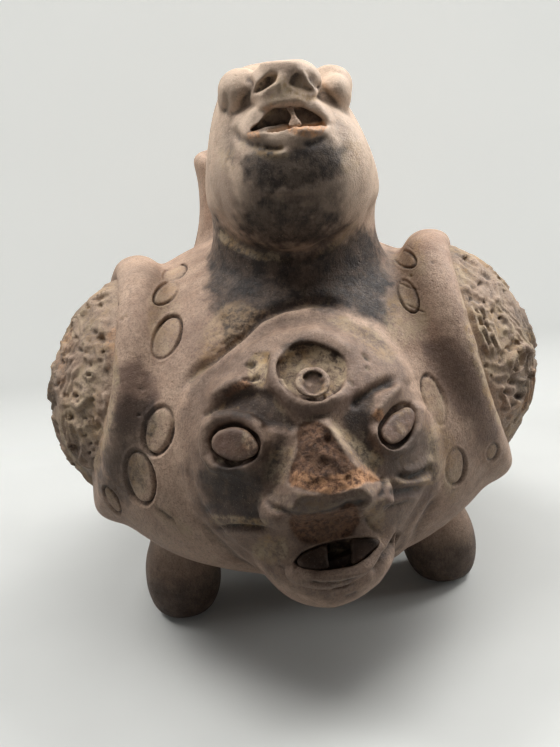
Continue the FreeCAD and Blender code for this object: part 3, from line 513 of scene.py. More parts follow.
class Wires:
    """Adds shader nodes to a tree and joins them up."""

    def __init__(self, tree):
        self.tree = tree

    def add(self, kind, inputs=None, **settings):
        node = self.tree.nodes.new("ShaderNode" + kind)
        for key, value in settings.items():
            setattr(node, key, value)
        for key, value in (inputs or {}).items():
            socket = node.inputs[key]
            if isinstance(value, bpy.types.NodeSocket):
                self.tree.links.new(value, socket)
            else:
                socket.default_value = value
        return node

    def math(self, operation, a, b=0.0, c=0.0, clamp=False):
        return self.add("Math", {0: a, 1: b, 2: c}, operation=operation, use_clamp=clamp).outputs[0]

    def span(self, value, low, high, to_low=0.0, to_high=1.0):
        made = self.add(
            "MapRange",
            {"Value": value, "From Min": low, "From Max": high, "To Min": to_low, "To Max": to_high},
            interpolation_type="SMOOTHSTEP",
        )
        return made.outputs["Result"]

    def mix(self, share, a, b, kind="MIX"):
        made = self.add("Mix", {"Factor": share}, data_type="RGBA", blend_type=kind)
        for socket, value in ((made.inputs[6], a), (made.inputs[7], b)):
            if isinstance(value, bpy.types.NodeSocket):
                self.tree.links.new(value, socket)
            else:
                socket.default_value = value
        return made.outputs[2]

    def noise(self, place, size, detail=3.0, rough=0.55, kind="Fac"):
        made = self.add("TexNoise", {"Vector": place, "Scale": 1 / size, "Detail": detail, "Roughness": rough})
        return made.outputs[kind]


def new_group(name, inputs, outputs):
    """An empty shader node group with named sockets."""
    group = bpy.data.node_groups.new(name, "ShaderNodeTree")
    for title, kind, value in inputs:
        socket = group.interface.new_socket(title, in_out="INPUT", socket_type=f"NodeSocket{kind}")
        socket.default_value = value
    for title, kind in outputs:
        group.interface.new_socket(title, in_out="OUTPUT", socket_type=f"NodeSocket{kind}")
    wires = Wires(group)
    start = group.nodes.new("NodeGroupInput").outputs
    end = group.nodes.new("NodeGroupOutput").inputs
    return group, wires, start, end


def millimetres(wires, stretch=(1.0, 1.0, 1.0)):
    """A point's place on the jar, in millimetres."""
    place = wires.add("TexCoord").outputs["Object"]
    scale = tuple(1000.0 * s for s in stretch)
    return wires.add("VectorMath", {0: place, 1: scale}, operation="MULTIPLY").outputs[0]


def wiped_place(w, place):
    """A place drawn out upright and swayed, for the marks that wiping leaves."""
    sway = w.noise(place, 22, 2, 0.5, "Color")
    drift = w.add("VectorMath", {0: sway, 1: (6.0, 6.0, 6.0)}, operation="MULTIPLY").outputs[0]
    drifted = w.add("VectorMath", {0: place, 1: drift}, operation="ADD").outputs[0]
    return w.add("VectorMath", {0: drifted, 1: (1.0, 1.0, 0.4)}, operation="MULTIPLY").outputs[0]


def make_tone_group():
    """Mottled fired clay: dust and painted shade in the hollows, darker pressed grooves, soot with painted
    shade, painted shade over the face, a painted highlight up the head, burnish, worn ridges and broken clay.
    """
    group, w, start, end = new_group(
        "Fired clay tone",
        [
            ("Pale clay", "Color", linear(176, 152, 133)),
            ("Deep clay", "Color", linear(124, 98, 83)),
            ("Dust colour", "Color", linear(190, 170, 142)),
            ("Smoke and shade colour", "Color", linear(44, 38, 35)),
            ("Burnish colour", "Color", linear(84, 63, 57)),
            # The soot mask also carries painted shade; Deep is painted shade and Pale a painted highlight.
            ("Hollow", "Float", 0.0),
            ("Ridge", "Float", 0.0),
            ("Pressed", "Float", 0.0),
            ("Deep", "Float", 0.0),
            ("Pale", "Float", 0.0),
            ("Soot_and_shade", "Float", 0.0),
            ("Dust", "Float", 0.0),
            ("Burnish", "Float", 0.0),
            ("Broken", "Float", 0.0),
            ("Rust", "Float", 0.0),
            ("Dustiness", "Float", 1.0),
            ("Streaks", "Float", 1.0),
        ],
        [("Color", "Color"), ("Roughness", "Float")],
    )
    place = millimetres(w)
    broad = w.noise(place, 40, 3, 0.6)
    middle = w.noise(place, 7, 5, 0.66)
    small = w.noise(place, 1.5, 4, 0.65)
    grit = w.noise(place, 0.4, 3, 0.7)
    wiped = wiped_place(w, place)
    streak = w.noise(wiped, 0.8, 4, 0.68)
    scratch = w.noise(wiped, 0.3, 3, 0.7)
    blend = w.math("ADD", w.math("MULTIPLY", broad, 0.45), w.math("MULTIPLY", middle, 0.4))
    blend = w.math("ADD", blend, w.math("MULTIPLY", small, 0.15))
    tone = w.mix(w.span(blend, 0.3, 0.64), start["Deep clay"], start["Pale clay"])
    warmth = w.span(w.noise(place, 19, 6, 0.7), 0.46, 0.72, 0.0, 0.34)
    warm = w.mix(warmth, tone, linear(150, 110, 88))
    greyed = w.mix(w.span(w.noise(place, 27, 6, 0.7), 0.46, 0.74, 0.0, 0.4), warm, linear(120, 107, 98))
    worn = w.mix(
        w.math("MULTIPLY", start["Ridge"], w.span(small, 0.35, 0.65, 0.05, 0.5)), greyed, linear(196, 172, 150)
    )
    lined = w.mix(
        w.math("MULTIPLY", start["Streaks"], w.span(streak, 0.56, 0.36, 0.0, 0.24)), worn, linear(84, 66, 55)
    )
    lined = w.mix(
        w.math("MULTIPLY", start["Streaks"], w.span(scratch, 0.56, 0.7, 0.0, 0.24)), lined,
        linear(204, 184, 160)
    )
    freckled = w.mix(w.span(w.noise(place, 0.75, 4, 0.75), 0.5, 0.34, 0.0, 0.5), lined, linear(92, 73, 61))
    # Painted highlight: the pale mask lightens the top of the head, where the overhead light falls.
    painted_top_light = w.mix(
        w.math("MULTIPLY", start["Pale"], w.span(middle, 0.32, 0.6, 0.35, 0.75)), freckled,
        linear(222, 198, 174)
    )
    # Painted shade: the deep mask darkens the face, which turns from the lamps.
    painted_shade_darkened = w.mix(
        w.math("MULTIPLY", start["Deep"], w.span(middle, 0.3, 0.65, 0.9, 0.6)), painted_top_light, linear(78, 61, 51)
    )
    glow = w.math("MULTIPLY", start["Burnish"], w.span(middle, 0.3, 0.56, 0.45, 1.0), clamp=True)
    burnt = w.mix(glow, painted_shade_darkened, start["Burnish colour"])
    # Soot and painted shade, both laid with the soot mask.
    smudge = w.math("ADD", w.math("MULTIPLY", middle, 0.75), w.math("MULTIPLY", streak, 0.25))
    smoke_and_shade = w.math("MULTIPLY", start["Soot_and_shade"], w.span(smudge, 0.38, 0.62, 1.0, 0.8), clamp=True)
    smoked_and_shaded = w.mix(smoke_and_shade, burnt, start["Smoke and shade colour"])
    # Painted shade with grime: the hollows go darker.
    grime_and_shade = w.math("MULTIPLY", start["Hollow"], w.span(middle, 0.35, 0.6, 0.85, 0.3))
    grimy_and_shaded = w.mix(grime_and_shade, smoked_and_shaded, linear(58, 46, 39))
    patchy = w.math("ADD", w.math("MULTIPLY", middle, 0.45), w.math("MULTIPLY", small, 0.55))
    lodged = w.math("MULTIPLY", start["Hollow"], w.span(middle, 0.48, 0.62, 0.0, 0.6))
    lodged = w.math("ADD", lodged, w.math("MULTIPLY", start["Dust"], 1.0))
    lodged = w.math("MULTIPLY", lodged, start["Dustiness"])
    crust = w.math("MULTIPLY", lodged, w.span(patchy, 0.4, 0.58, 0.08, 0.95), clamp=True)
    earth = w.mix(
        w.span(w.noise(place, 12, 4, 0.65), 0.44, 0.64, 0.0, 0.75), start["Dust colour"], linear(172, 138, 94)
    )
    dusty = w.mix(crust, grimy_and_shaded, earth)
    # The pressed grooves go darker.
    groove_darkened = w.mix(
        w.math("MULTIPLY", start["Pressed"], w.span(small, 0.3, 0.65, 0.95, 0.55)), dusty, linear(34, 27, 24)
    )
    scar = w.mix(w.span(small, 0.36, 0.62), linear(82, 62, 52), linear(132, 100, 80))
    rough_scar = w.mix(w.span(middle, 0.42, 0.6, 0.0, 0.6), scar, linear(70, 55, 47))
    scarred = w.mix(start["Broken"], groove_darkened, rough_scar)
    rusty = w.mix(w.span(small, 0.34, 0.6), linear(146, 98, 68), linear(212, 162, 120))
    broken = w.mix(w.math("MULTIPLY", start["Rust"], w.span(patchy, 0.38, 0.55, 0.3, 1.0)), scarred, rusty)
    specks = w.mix(w.span(grit, 0.6, 0.74, 0.0, 0.4), broken, linear(208, 190, 164))
    pits = w.mix(w.span(grit, 0.28, 0.4, 0.5, 0.0), specks, linear(50, 40, 35))
    w.tree.links.new(pits, end["Color"])
    rough = w.math("SUBTRACT", w.span(small, 0.3, 0.7, 0.5, 0.7), w.math("MULTIPLY", glow, 0.14))
    rough = w.math("ADD", rough, w.math("MULTIPLY", crust, 0.35), clamp=True)
    rough = w.math("ADD", rough, w.math("MULTIPLY", start["Broken"], 0.3), clamp=True)
    w.tree.links.new(rough, end["Roughness"])
    return group


def make_skin_group():
    """The clay's fine surface, as a height in millimetres: grain, pits, wiping and breaks."""
    group, w, start, end = new_group(
        "Fired clay skin",
        [
            ("Grain", "Float", 1.0),
            ("Pits", "Float", 1.0),
            ("Wiping", "Float", 1.0),
            ("Hollow", "Float", 0.0),
            ("Broken", "Float", 0.0),
        ],
        [("Height", "Float")],
    )
    place = millimetres(w)
    grain = w.noise(place, 0.55, 4, 0.65)
    lumps = w.noise(place, 2.6, 4, 0.6)
    wiped = wiped_place(w, place)
    streak = w.noise(wiped, 0.8, 4, 0.68)
    cells = w.add("TexVoronoi", {"Vector": place, "Scale": 1 / 3.4, "Randomness": 1.0}).outputs["Distance"]
    pits = w.span(cells, 0.0, 0.17, -1.0, 0.0)
    chosen = w.span(w.noise(place, 9, 2, 0.5), 0.5, 0.62)
    height = w.math("MULTIPLY", w.math("SUBTRACT", grain, 0.5), w.math("MULTIPLY", start["Grain"], 0.2))
    height = w.math("ADD", height, w.math(
        "MULTIPLY", w.math("SUBTRACT", lumps, 0.5), w.math("MULTIPLY", start["Grain"], 0.3)
    ))
    height = w.math("ADD", height, w.math(
        "MULTIPLY", w.math("MULTIPLY", pits, chosen), w.math("MULTIPLY", start["Pits"], 0.22)
    ))
    height = w.math("ADD", height, w.math(
        "MULTIPLY", w.math("SUBTRACT", streak, 0.5), w.math("MULTIPLY", start["Wiping"], 0.1)
    ))
    crumbs = w.math(
        "MULTIPLY", w.math("SUBTRACT", w.noise(place, 0.8, 5, 0.7), 0.5), w.math("MULTIPLY", start["Hollow"],
        0.35)
    )
    height = w.math("ADD", height, crumbs)
    torn = w.math(
        "MULTIPLY", w.math("SUBTRACT", w.noise(place, 1.5, 6, 0.72), 0.5), w.math("MULTIPLY", start["Broken"],
        1.1)
    )
    w.tree.links.new(w.math("ADD", height, torn), end["Height"])
    return group


GROUPS = {}


def clay_material(name, pale, deep, dustiness=1.0, grain=1.0, pits=1.0, wiping=1.0, streaks=1.0):
    """Fired clay, its marks read from what was worked into the mesh."""
    if not GROUPS:
        GROUPS["tone"], GROUPS["skin"] = make_tone_group(), make_skin_group()
    colours = bpy.context.scene.effigy_colours
    material = bpy.data.materials.new(name)
    material.use_nodes = True
    tree = material.node_tree
    tree.nodes.clear()
    w = Wires(tree)
    marks = {key: w.add("Attribute", attribute_name=key).outputs["Fac"] for key in MASKS}
    tone = w.add("Group", node_tree=GROUPS["tone"])
    for key, value in (
        ("Pale clay", pale), ("Deep clay", deep), ("Dust colour", colours.dust),
        ("Smoke and shade colour", colours.smoke_and_shade),
        ("Burnish colour", colours.burnish), ("Dustiness", dustiness), ("Streaks", streaks),
    ):
        tone.inputs[key].default_value = value
    for key, socket in marks.items():
        tree.links.new(socket, tone.inputs[key.capitalize()])
    skin = w.add("Group", node_tree=GROUPS["skin"])
    for key, value in (("Grain", grain), ("Pits", pits), ("Wiping", wiping)):
        skin.inputs[key].default_value = value
    tree.links.new(marks["hollow"], skin.inputs["Hollow"])
    tree.links.new(marks["broken"], skin.inputs["Broken"])
    bump = w.add("Bump", {"Height": skin.outputs["Height"], "Distance": MM, "Strength": 1.0})
    shader = w.add("BsdfPrincipled", {
        "Base Color": tone.outputs["Color"], "Roughness": tone.outputs["Roughness"],
        "Normal": bump.outputs["Normal"]
    })
    shader.inputs["Specular IOR Level"].default_value = 0.32
    output = w.add("OutputMaterial")
    tree.links.new(shader.outputs["BSDF"], output.inputs["Surface"])
    return material


# --- what a user would change --------------------------------------------------------------


def length(name, description, millimetres_):
    return bpy.props.FloatProperty(
        name=name, description=description, default=millimetres_ * MM, min=0.0,
        subtype="DISTANCE", unit="LENGTH",
    )


def colour(name, description, value):
    return bpy.props.FloatVectorProperty(
        name=name, description=description, default=value, size=4, min=0.0, max=1.0, subtype="COLOR"
    )


class EFFIGY_PG_sizes(bpy.types.PropertyGroup):
    """How the clay is worked"""

    body_detail: length("Body detail", "Size of the smallest mark that the body's mesh can hold", 1.0)
    head_detail: length("Head detail", "Size of the smallest mark that the head's mesh can hold", 0.5)
    face_detail: length("Face detail", "Size of the smallest mark that the face's mesh can hold", 0.5)
    pad_detail: length("Pad detail", "Size of the smallest mark that a pellet or tooth can hold", 0.3)
    unevenness: length("Unevenness", "How far pinched walls wander from true", 0.55)
    joint_wiping: length("Joint wiping", "How far the luted joints are wiped smooth", 4.0)
    face_edge: length("Face edge", "How far the face's rounded edge stands off the body", 2.0)
    relief_height: length("Relief height", "Height of the medallions' moulded relief", 1.9)
    oval_strength: bpy.props.FloatProperty(
        name="Oval strength", description="How hard the cane ovals are pressed in",
        default=1.2, min=0.0, max=2.0, subtype="FACTOR",
    )


class EFFIGY_PG_colours(bpy.types.PropertyGroup):
    """The clay's colours"""

    pale_clay: colour("Pale clay", "Clay where the firing was clean", linear(204, 174, 150))
    deep_clay: colour("Deep clay", "Clay between the pale clouds", linear(142, 113, 95))
    dust: colour("Dust", "Fine earth lodged in the hollows", linear(196, 176, 146))
    # Also the colour of painted shade, which is laid with the soot.
    smoke_and_shade: colour("Smoke", "Smudges from the fire", linear(38, 28, 22))
    burnish: colour("Burnish", "Polished purple-brown slip", linear(104, 80, 69))
    relief_clay: colour("Relief clay", "Pale clay of the medallions", linear(186, 160, 138))
    pellet_clay: colour("Pellet clay", "Pale clay of the eye pellets", linear(122, 95, 78))
    tooth_clay: colour("Tooth clay", "Pale clay of the teeth", linear(112, 86, 70))
    paper: colour("Paper", "The floor and the wall", linear(218, 219, 215))


# --- the jar's clay ------------------------------------------------------------------------

SHARED = {}
INSIDE_FRAME = "inside"


def sizes():
    return bpy.context.scene.effigy_sizes


def in_mm(key):
    return getattr(sizes(), key) / MM


MEDALLION_RADIUS, MEDALLION_RISE = 43.0, 23.5
MEDALLION_DOME = (MEDALLION_RADIUS**2 + MEDALLION_RISE**2) / (2 * MEDALLION_RISE)
MEDALLIONS = {
    # The bearing, the tilt up, the reach from the body's middle, and the turn of its pattern.
    "left": (-86.0, 13.5, 74.5, 20.0, 3),
    "right": (76.0, 16.5, 77.0, -35.0, 8),
}


def medallion_frame(side):
    """The middle of a medallion's rim, and its turn from its own right, up and outward ways."""
    bearing, tilt, out, _, _ = MEDALLIONS[side]
    turn = Matrix.Rotation(math.radians(bearing), 3, "Z") @ Matrix.Rotation(math.radians(90 - tilt), 3, "X")
    return Vector((0, 0, BODY_HEIGHT)) + turn @ Vector((0, 0, out)), turn


def rolled_ring(middle, turn, ring, roll, level):
    """A closed roll of clay round a medallion, in millimetres."""
    points, faces = [], []
    steps, sides = 96, 20
    for i in range(steps):
        a = 2 * math.pi * i / steps
        for k in range(sides):
            b = 2 * math.pi * k / sides
            reach = ring + roll * math.cos(b)
            spot = Vector((reach * math.cos(a), reach * math.sin(a), level + roll * math.sin(b)))
            points.append((middle + turn @ spot) * MM)
            along, over = (i + 1) % steps, (k + 1) % sides
            faces.append((i * sides + k, along * sides + k, along * sides + over, i * sides + over))
    return build_mesh("rolled_ring", points, faces)


# Rolls of clay in millimetres. Each collar has a radius, half its thickness and a level on its
# medallion's frame. The spout's stand on its axis at a height, with a radius and half a thickness.
COLLAR_ROLL = (46.0, 6.5, -3.2)
SPOUT_AXIS = (-4.0, 50.0)
SPOUT_ROOT_ROLLS = ((114.5, 30.5, 6.5), (106.0, 27.0, 7.0))
# Thumb pushes on the collars: where, how wide and how far, in mm.
COLLAR_PUSHES = (((58, 0, 150), 24, (2.0, 0, -3.6)), ((-62, 0, 148), 22, (0, 0, -1.6)))


def luted_body():
    """The whole jar's clay as one wiped mesh, from which each piece takes its share."""
    if "body" not in SHARED:
        work = bmesh.new()
        work.from_mesh(node_mesh(LUTED_NODES, "luted"))
        for side in MEDALLIONS:
            work.from_mesh(rolled_ring(*medallion_frame(side), *COLLAR_ROLL))
        for height, ring, roll in SPOUT_ROOT_ROLLS:
            work.from_mesh(rolled_ring(Vector((*SPOUT_AXIS, height)), Matrix.Identity(3), ring, roll, 0.0))
        mesh = remesh(taken(work, "luted"), in_mm("body_detail"))
        mesh = smoothed(smoothed(mesh, in_mm("joint_wiping"), in_mm("body_detail")), 2.0, in_mm("body_detail"))
        points = points_of(mesh)
        for middle, reach, move in COLLAR_PUSHES:
            gap = np.linalg.norm(points / MM - np.array(middle), axis=1)
            points += np.exp(-((gap / reach) ** 2))[:, None] * np.array(move) * MM
        set_points(mesh, eased_inside(points))
        SHARED["body"] = mesh
    return SHARED["body"]


def mask_frame():
    """The face plate's own frame: its middle on the body and its right, up and outward ways."""
    middle = Vector((-3.3, -79.0, 96.5))
    tilt, lean = math.radians(22), math.radians(2)
    turn = Matrix.Rotation(math.pi / 2 - tilt, 3, "X") @ Matrix.Rotation(lean, 3, "Z")
    return middle, turn


def outline_tool(middle, turn, outline, low, high):
    """A closed prism over an outline in a frame, in millimetres."""
    work = bmesh.new()
    rings = []
    for level in (low, high):
        rings.append([work.verts.new((middle + turn @ Vector((x, y, level))) * MM) for x, y in outline])
    work.faces.new(list(reversed(rings[0])))
    work.faces.new(rings[1])
    count = len(outline)
    for i in range(count):
        j = (i + 1) % count
        work.faces.new((rings[0][i], rings[0][j], rings[1][j], rings[1][i]))
    return taken(work, "outline_tool")


def sight_tool(clay, corners, before, behind):
    """A closed prism over an outline of pixels, along the lines of sight: how far it starts
    before the first clay there and how far it goes behind, in millimetres."""
    depths = [clay.nearest_depth(*corner) for corner in corners]
    depth = min(d for d in depths if d < np.inf)
    back = np.array(camera_axes()[2])
    work = bmesh.new()
    rings = []
    for level in (depth - before, depth + behind):
        ring = []
        for x, y in corners:
            start, way = sight(x, y)
            ring.append(work.verts.new(start + way * (level * MM / -way.dot(Vector(back)))))
        rings.append(ring)
    work.faces.new(rings[0])
    work.faces.new(list(reversed(rings[1])))
    count = len(corners)
    for i in range(count):
        j = (i + 1) % count
        work.faces.new((rings[0][j], rings[0][i], rings[1][i], rings[1][j]))
    bmesh.ops.recalc_face_normals(work, faces=work.faces)
    return taken(work, "sight_tool")


def rim_level(clay, rim):
    """A flat fit to how deep the clay lies along a rim of pixels: depth at any pixel, in mm."""
    rows = [(1.0, x, y) for x, y in rim if clay.nearest_depth(x, y) < np.inf]
    depths = [clay.nearest_depth(x, y) for _, x, y in rows]
    fit = np.linalg.lstsq(np.array(rows), np.array(depths), rcond=None)[0]
    return lambda x, y: float(fit @ (1.0, x, y))


def rounded(corners, steps=5):
    """A closed outline drawn smoothly through its corners."""
    points = np.array(corners, float)
    before, after, later = (np.roll(points, -shift, axis=0) for shift in (-1, 1, 2))
    made = []
    for t in np.arange(steps) / steps:
        made.append(
            0.5 * (2 * points + (after - before) * t + (2 * before - 5 * points + 4 * after - later) * t**2
                   + (3 * points - before - 3 * after + later) * t**3)
        )
    return np.stack(made, axis=1).reshape(-1, 2)


def lump(level, corners, proud, thick, voxel, reach):
    """A rounded pad of clay over an outline of pixels: how far it stands before a level, how
    thick it is, and how softly its edge is rounded, in millimetres."""
    outline = rounded(corners)
    back = np.array(camera_axes()[2])
    work = bmesh.new()
    rings = []
    for shift in (-proud, thick - proud):
        ring = []
        for x, y in outline:
            start, way = sight(x, y)
            ring.append(work.verts.new(start + way * ((level(x, y) + shift) * MM / -way.dot(Vector(back)))))
        rings.append(ring)
    work.faces.new(rings[0])
    work.faces.new(list(reversed(rings[1])))
    for i in range(len(outline)):
        j = (i + 1) % len(outline)
        work.faces.new((rings[0][j], rings[0][i], rings[1][i], rings[1][j]))
    bmesh.ops.recalc_face_normals(work, faces=work.faces)
    return smoothed(remesh(taken(work, "lump"), voxel), reach, voxel)


def face_zone():
    middle, turn = mask_frame()
    outline = []
    for step in range(72):
        angle = 2 * math.pi * step / 72
        x, y = 51.0 * math.cos(angle), math.sin(angle)
        y *= 52.0 if y > 0 else 64.0
        outline.append((x, y))
    return outline_tool(middle, turn, outline, -62, 45)


def thin_inside(mesh, keep=0.06):
    """Thins out the faces of the hollow inside, which only shows down the spout."""
    item = scratch_object(mesh)
    points = points_of(mesh) / MM
    normals = normals_of(mesh)
    centre = np.array((0, 0, BODY_HEIGHT))
    inward = np.einsum("ij,ij->i", normals, points - centre) < 0
    reach = np.hypot(points[:, 0], points[:, 1]) / 84.5
    level = (points[:, 2] - BODY_HEIGHT) / np.where(points[:, 2] > BODY_HEIGHT, 68.0, 58.0)
    inside = inward & (np.hypot(reach, level) < 1.0)
    group = item.vertex_groups.new(name=INSIDE_FRAME)
    group.add(np.flatnonzero(inside).tolist(), 1.0, "REPLACE")
    modifier = item.modifiers.new("thin", "DECIMATE")
    modifier.decimate_type = "COLLAPSE"
    modifier.vertex_group = INSIDE_FRAME
    modifier.ratio = 1 - (1 - keep) * inside.mean()
    graph = bpy.context.evaluated_depsgraph_get()
    made = bpy.data.meshes.new_from_object(item.evaluated_get(graph))
    bpy.data.objects.remove(item)
    return made


FACE_EDGE = (
    (262, 324), (243, 344), (218, 363), (199, 377), (187, 393), (180, 417), (180, 450), (185, 480), (195, 508),
    (214, 531), (239, 555), (265, 571), (291, 587), (318, 601), (333, 603), (358, 593), (378, 581), (390, 565),
    (400, 551), (408, 536), (422, 512), (435, 490), (440, 467), (436, 438), (427, 415), (412, 385), (396, 352),
    (374, 330), (346, 318), (316, 312), (286, 314),
)

LEFT_OVALS = (
    ((175, 272), 12.4, 6.4, -62, 1.2, 0.7, 90), ((166, 293), 14, 8, -48, 1.4, 1.0, -90),
    ((167, 337), 23, 11.6, -24, 1.6, 1.3, 60), ((158, 431), 24.5, 13.5, -14, 2.1, 1.9, -30),
    ((140, 478), 27, 13, 12, 2.0, 1.7, -40), ((112, 500), 15, 4.6, 30, 1.3, 1.1, 0),
)
RIGHT_OVALS = (
    ((405, 259), 11, 7.5, 60, 1.3, 0.9, -90), ((408, 296), 17, 8, 24, 1.4, 1.1, -90),
    ((434, 400), 26, 9.6, 19, 1.6, 1.4, 120), ((455.5, 467), 18, 9.6, -5, 1.5, 1.2, -45),
    ((492.5, 452), 8.5, 5, -20, 1.3, 0.6, 0),
)


def refine(mesh, tests):
    """Quarters the faces near the places where fine marks are pressed."""
    pixels, depth = sighted(points_of(mesh))
    place = np.array(camera_axes()[3]) * MM
    toward = place - points_of(mesh)
    facing = np.einsum("ij,ij->i", normals_of(mesh), toward) > 0
    near = np.zeros(len(pixels), bool)
    for (x, y), reach in tests:
        close = (np.hypot(pixels[:, 0] - x, pixels[:, 1] - y) < reach) & facing
        if close.any():
            near |= close & (depth < depth[close].min() + 25)
    work = bmesh.new()
    work.from_mesh(mesh)
    work.verts.ensure_lookup_table()
    edges = [e for e in work.edges if near[e.verts[0].index] and near[e.verts[1].index]]
    bmesh.ops.subdivide_edges(work, edges=edges, cuts=2, use_grid_fill=True)
    return taken(work, "refined")


def hand_wander(clay):
    """The slow unevenness of pinched walls, and faint finger facets."""
    points, amount = clay.points, in_mm("unevenness")
    swell = layered_noise(points, 34, 2, 11) * amount + layered_noise(points, 9, 2, 23) * amount * 0.22
    clay.points = points + clay.normals * (swell * MM)[:, None]
    clay.points[:, 2] = np.maximum(clay.points[:, 2], 0.0)
    clay.settle()


def press_ovals(clay):
    for middle, long, wide, lean, line, depth, deep in LEFT_OVALS + RIGHT_OVALS:
        clay.oval(middle, long, wide, lean, line, depth * sizes().oval_strength, pad=-0.15, deep_side=deep)
    clay.settle()


def work_face_edge(clay):
    """The face stands off the body in a rounded edge, with a crease behind it."""
    clay.sink(FACE_EDGE, 8, -in_mm("face_edge"))
    clay.press((
        (346, 306), (326, 302), (305, 303), (282, 309), (261, 319), (241, 338), (216, 358), (196, 371),
        (184, 390)
    ), 5.5, 2.2, taper=0.12)
    clay.roll((
        (348, 317), (326, 311), (308, 312), (283, 317), (265, 325), (241, 347), (219, 367), (202, 379)
    ), 4.5, 0.9)
    clay.press(((195, 512), (214, 535), (239, 559), (265, 575)), 5, 1.0)
    clay.press(((438, 492), (424, 516), (410, 540)), 5, 1.2)
    clay.masks["pressed"] = clay.masks.get("pressed", np.zeros(len(clay.points))) * 0.5
    clay.settle()


NECK_SHADOW = (
    (215, 214), (214, 250), (208, 285), (212, 312), (232, 326), (256, 318), (280, 308), (310, 305), (345, 308),
    (352, 312), (372, 322), (388, 326), (392, 300), (386, 268), (380, 232), (362, 226), (330, 246), (290, 256),
    (250, 248),
)
FACE_SHADE = (
    (222, 322), (240, 300), (262, 286), (300, 282), (352, 288), (356, 306), (330, 305), (300, 307), (268, 316),
    (246, 334), (226, 350)
)
OCHRE_CRUST = (
    (196, 345), (208, 322), (226, 306), (244, 304), (262, 312), (258, 322), (240, 340), (218, 358), (200, 372)
)


def work_shoulders(clay):
    """Crusted, cracked clay behind the face and small knocks on the shoulders."""
    clay.roughen(OCHRE_CRUST, 6, 0.5, 1.6)
    for start, end in (
        ((215, 335), (226, 331)), ((220, 345), (233, 336)), ((228, 324), (238, 330)), ((231, 333), (244, 326)),
        ((207, 345), (214, 352)), ((240, 316), (252, 322)), ((222, 318), (232, 312)), ((236, 340), (246, 333)),
    ):
        clay.press((start, end), 1.0, 0.5, taper=0.1)
    for spot in (
        (117, 304), (122, 319), (126, 316), (139, 415), (142, 389), (410, 276), (424, 316), (300, 214),
        (433, 262)
    ):
        clay.dab(spot, 1.6, -0.8)
    clay.press(((404, 303), (416, 309), (428, 314)), 1.0, 0.4)
    clay.press(((395, 281), (408, 287), (422, 291)), 1.0, 0.4)
    clay.settle()


def stain_and_shade_all(clay, stains):
    """Lays stains and painted shade on: each has a mask, an edge in pixels, a strength, its raggedness and an
    outline.
    """
    for name, feather, value, ragged, outline in stains:
        clay.stain_and_shade(name, outline, feather, value, ragged)


BODY_STAINS_AND_SHADE = (
    # Painted shade under the head, down the neck to the face's top edge.
    ("soot_and_shade", 12, 1.0, 0.5, NECK_SHADOW),
    # Painted shadow of the head on the body just above the face, with soot.
    ("soot_and_shade", 3.5, 0.95, 0.25, FACE_SHADE),
    # Painted shade: the whole face darker, its lower half more.
    ("deep", 8, 0.75, 0.5, FACE_EDGE),
    ("deep", 14, 0.8, 0.5, (
        (185, 470), (200, 440), (300, 440), (440, 440), (430, 500), (404, 545), (330, 604), (265, 573),
        (214, 535)
    )),
    ("soot_and_shade", 9, 0.5, 0.5, ((388, 238), (398, 262), (400, 300), (392, 330), (376, 318), (380, 270))),
    ("soot_and_shade", 12, 0.75, 0.5, (
        (108, 420), (126, 398), (150, 400), (158, 420), (152, 470), (128, 505), (100, 490), (98, 455)
    )),
    ("soot_and_shade", 4, 0.9, 0.5, ((142, 408), (154, 400), (158, 428), (150, 446), (142, 436))),
    ("burnish", 10, 0.8, 0.5, ((112, 366), (140, 358), (160, 380), (158, 420), (134, 432), (112, 424))),
    ("burnish", 7, 0.7, 0.5, (
        (418, 342), (454, 338), (482, 360), (492, 390), (484, 420), (454, 414), (434, 380)
    )),
    ("soot_and_shade", 10, 0.3, 0.5, ((424, 344), (448, 344), (470, 372), (476, 400), (456, 404), (438, 376))),
    ("burnish", 7, 0.6, 0.5, ((470, 400), (500, 410), (498, 440), (476, 445))),
    ("dust", 8, 0.5, 0.5, OCHRE_CRUST),
    ("rust", 9, 0.14, 0.5, OCHRE_CRUST),
    ("dust", 8, 0.6, 0.5, ((386, 296), (412, 292), (428, 312), (424, 340), (404, 352), (386, 330))),
    ("dust", 8, 0.45, 0.5, ((394, 236), (420, 240), (424, 270), (404, 276), (394, 262))),
    ("dust", 6, 0.45, 0.5, ((148, 300), (172, 282), (182, 296), (176, 318), (156, 352), (150, 340))),
    ("dust", 8, 0.5, 0.5, ((426, 424), (440, 420), (460, 450), (452, 500), (432, 470))),
    ("dust", 4, 0.5, 0.5, ((150, 500), (172, 512), (192, 530), (188, 538), (160, 520))),
    ("dust", 4, 0.5, 0.5, ((436, 392), (444, 396), (442, 416), (434, 414))),
)


def stain_and_shade_body(clay):
    stain_and_shade_all(clay, BODY_STAINS_AND_SHADE)
    for crust in COLLAR_CRUSTS:
        clay.stain_and_shade("dust", crust, 3.5, 0.75)
    height = clay.points[:, 2] / MM
    # Painted highlight: paler up the front of the head's top, where the overhead light falls.
    clay.masks["pale"] = 0.9 * ramp(height, 148, 172) * ramp(-clay.points[:, 1] / MM, -24, -10)
    # Darker toward the bottom: in patches low on the bowl, and the feet with soot and painted shade.
    cloud = layered_noise(clay.points, 26, 3, 91)
    low = 0.4 * ramp(-height, -58, -18) * ramp(cloud, -0.5, 0.3)
    legs_soot_and_shade = 0.85 * ramp(-height, -32, -16)
    mask = clay.masks.setdefault("soot_and_shade", np.zeros(len(clay.points)))
    mask[:] = np.maximum(mask, np.maximum(low, legs_soot_and_shade))
    back = ramp(clay.points[:, 1] / MM, -10, 25) * ramp(layered_noise(clay.points, 45, 3, 57), 0.15, 0.5)
    mask[:] = np.maximum(mask, 0.6 * back)


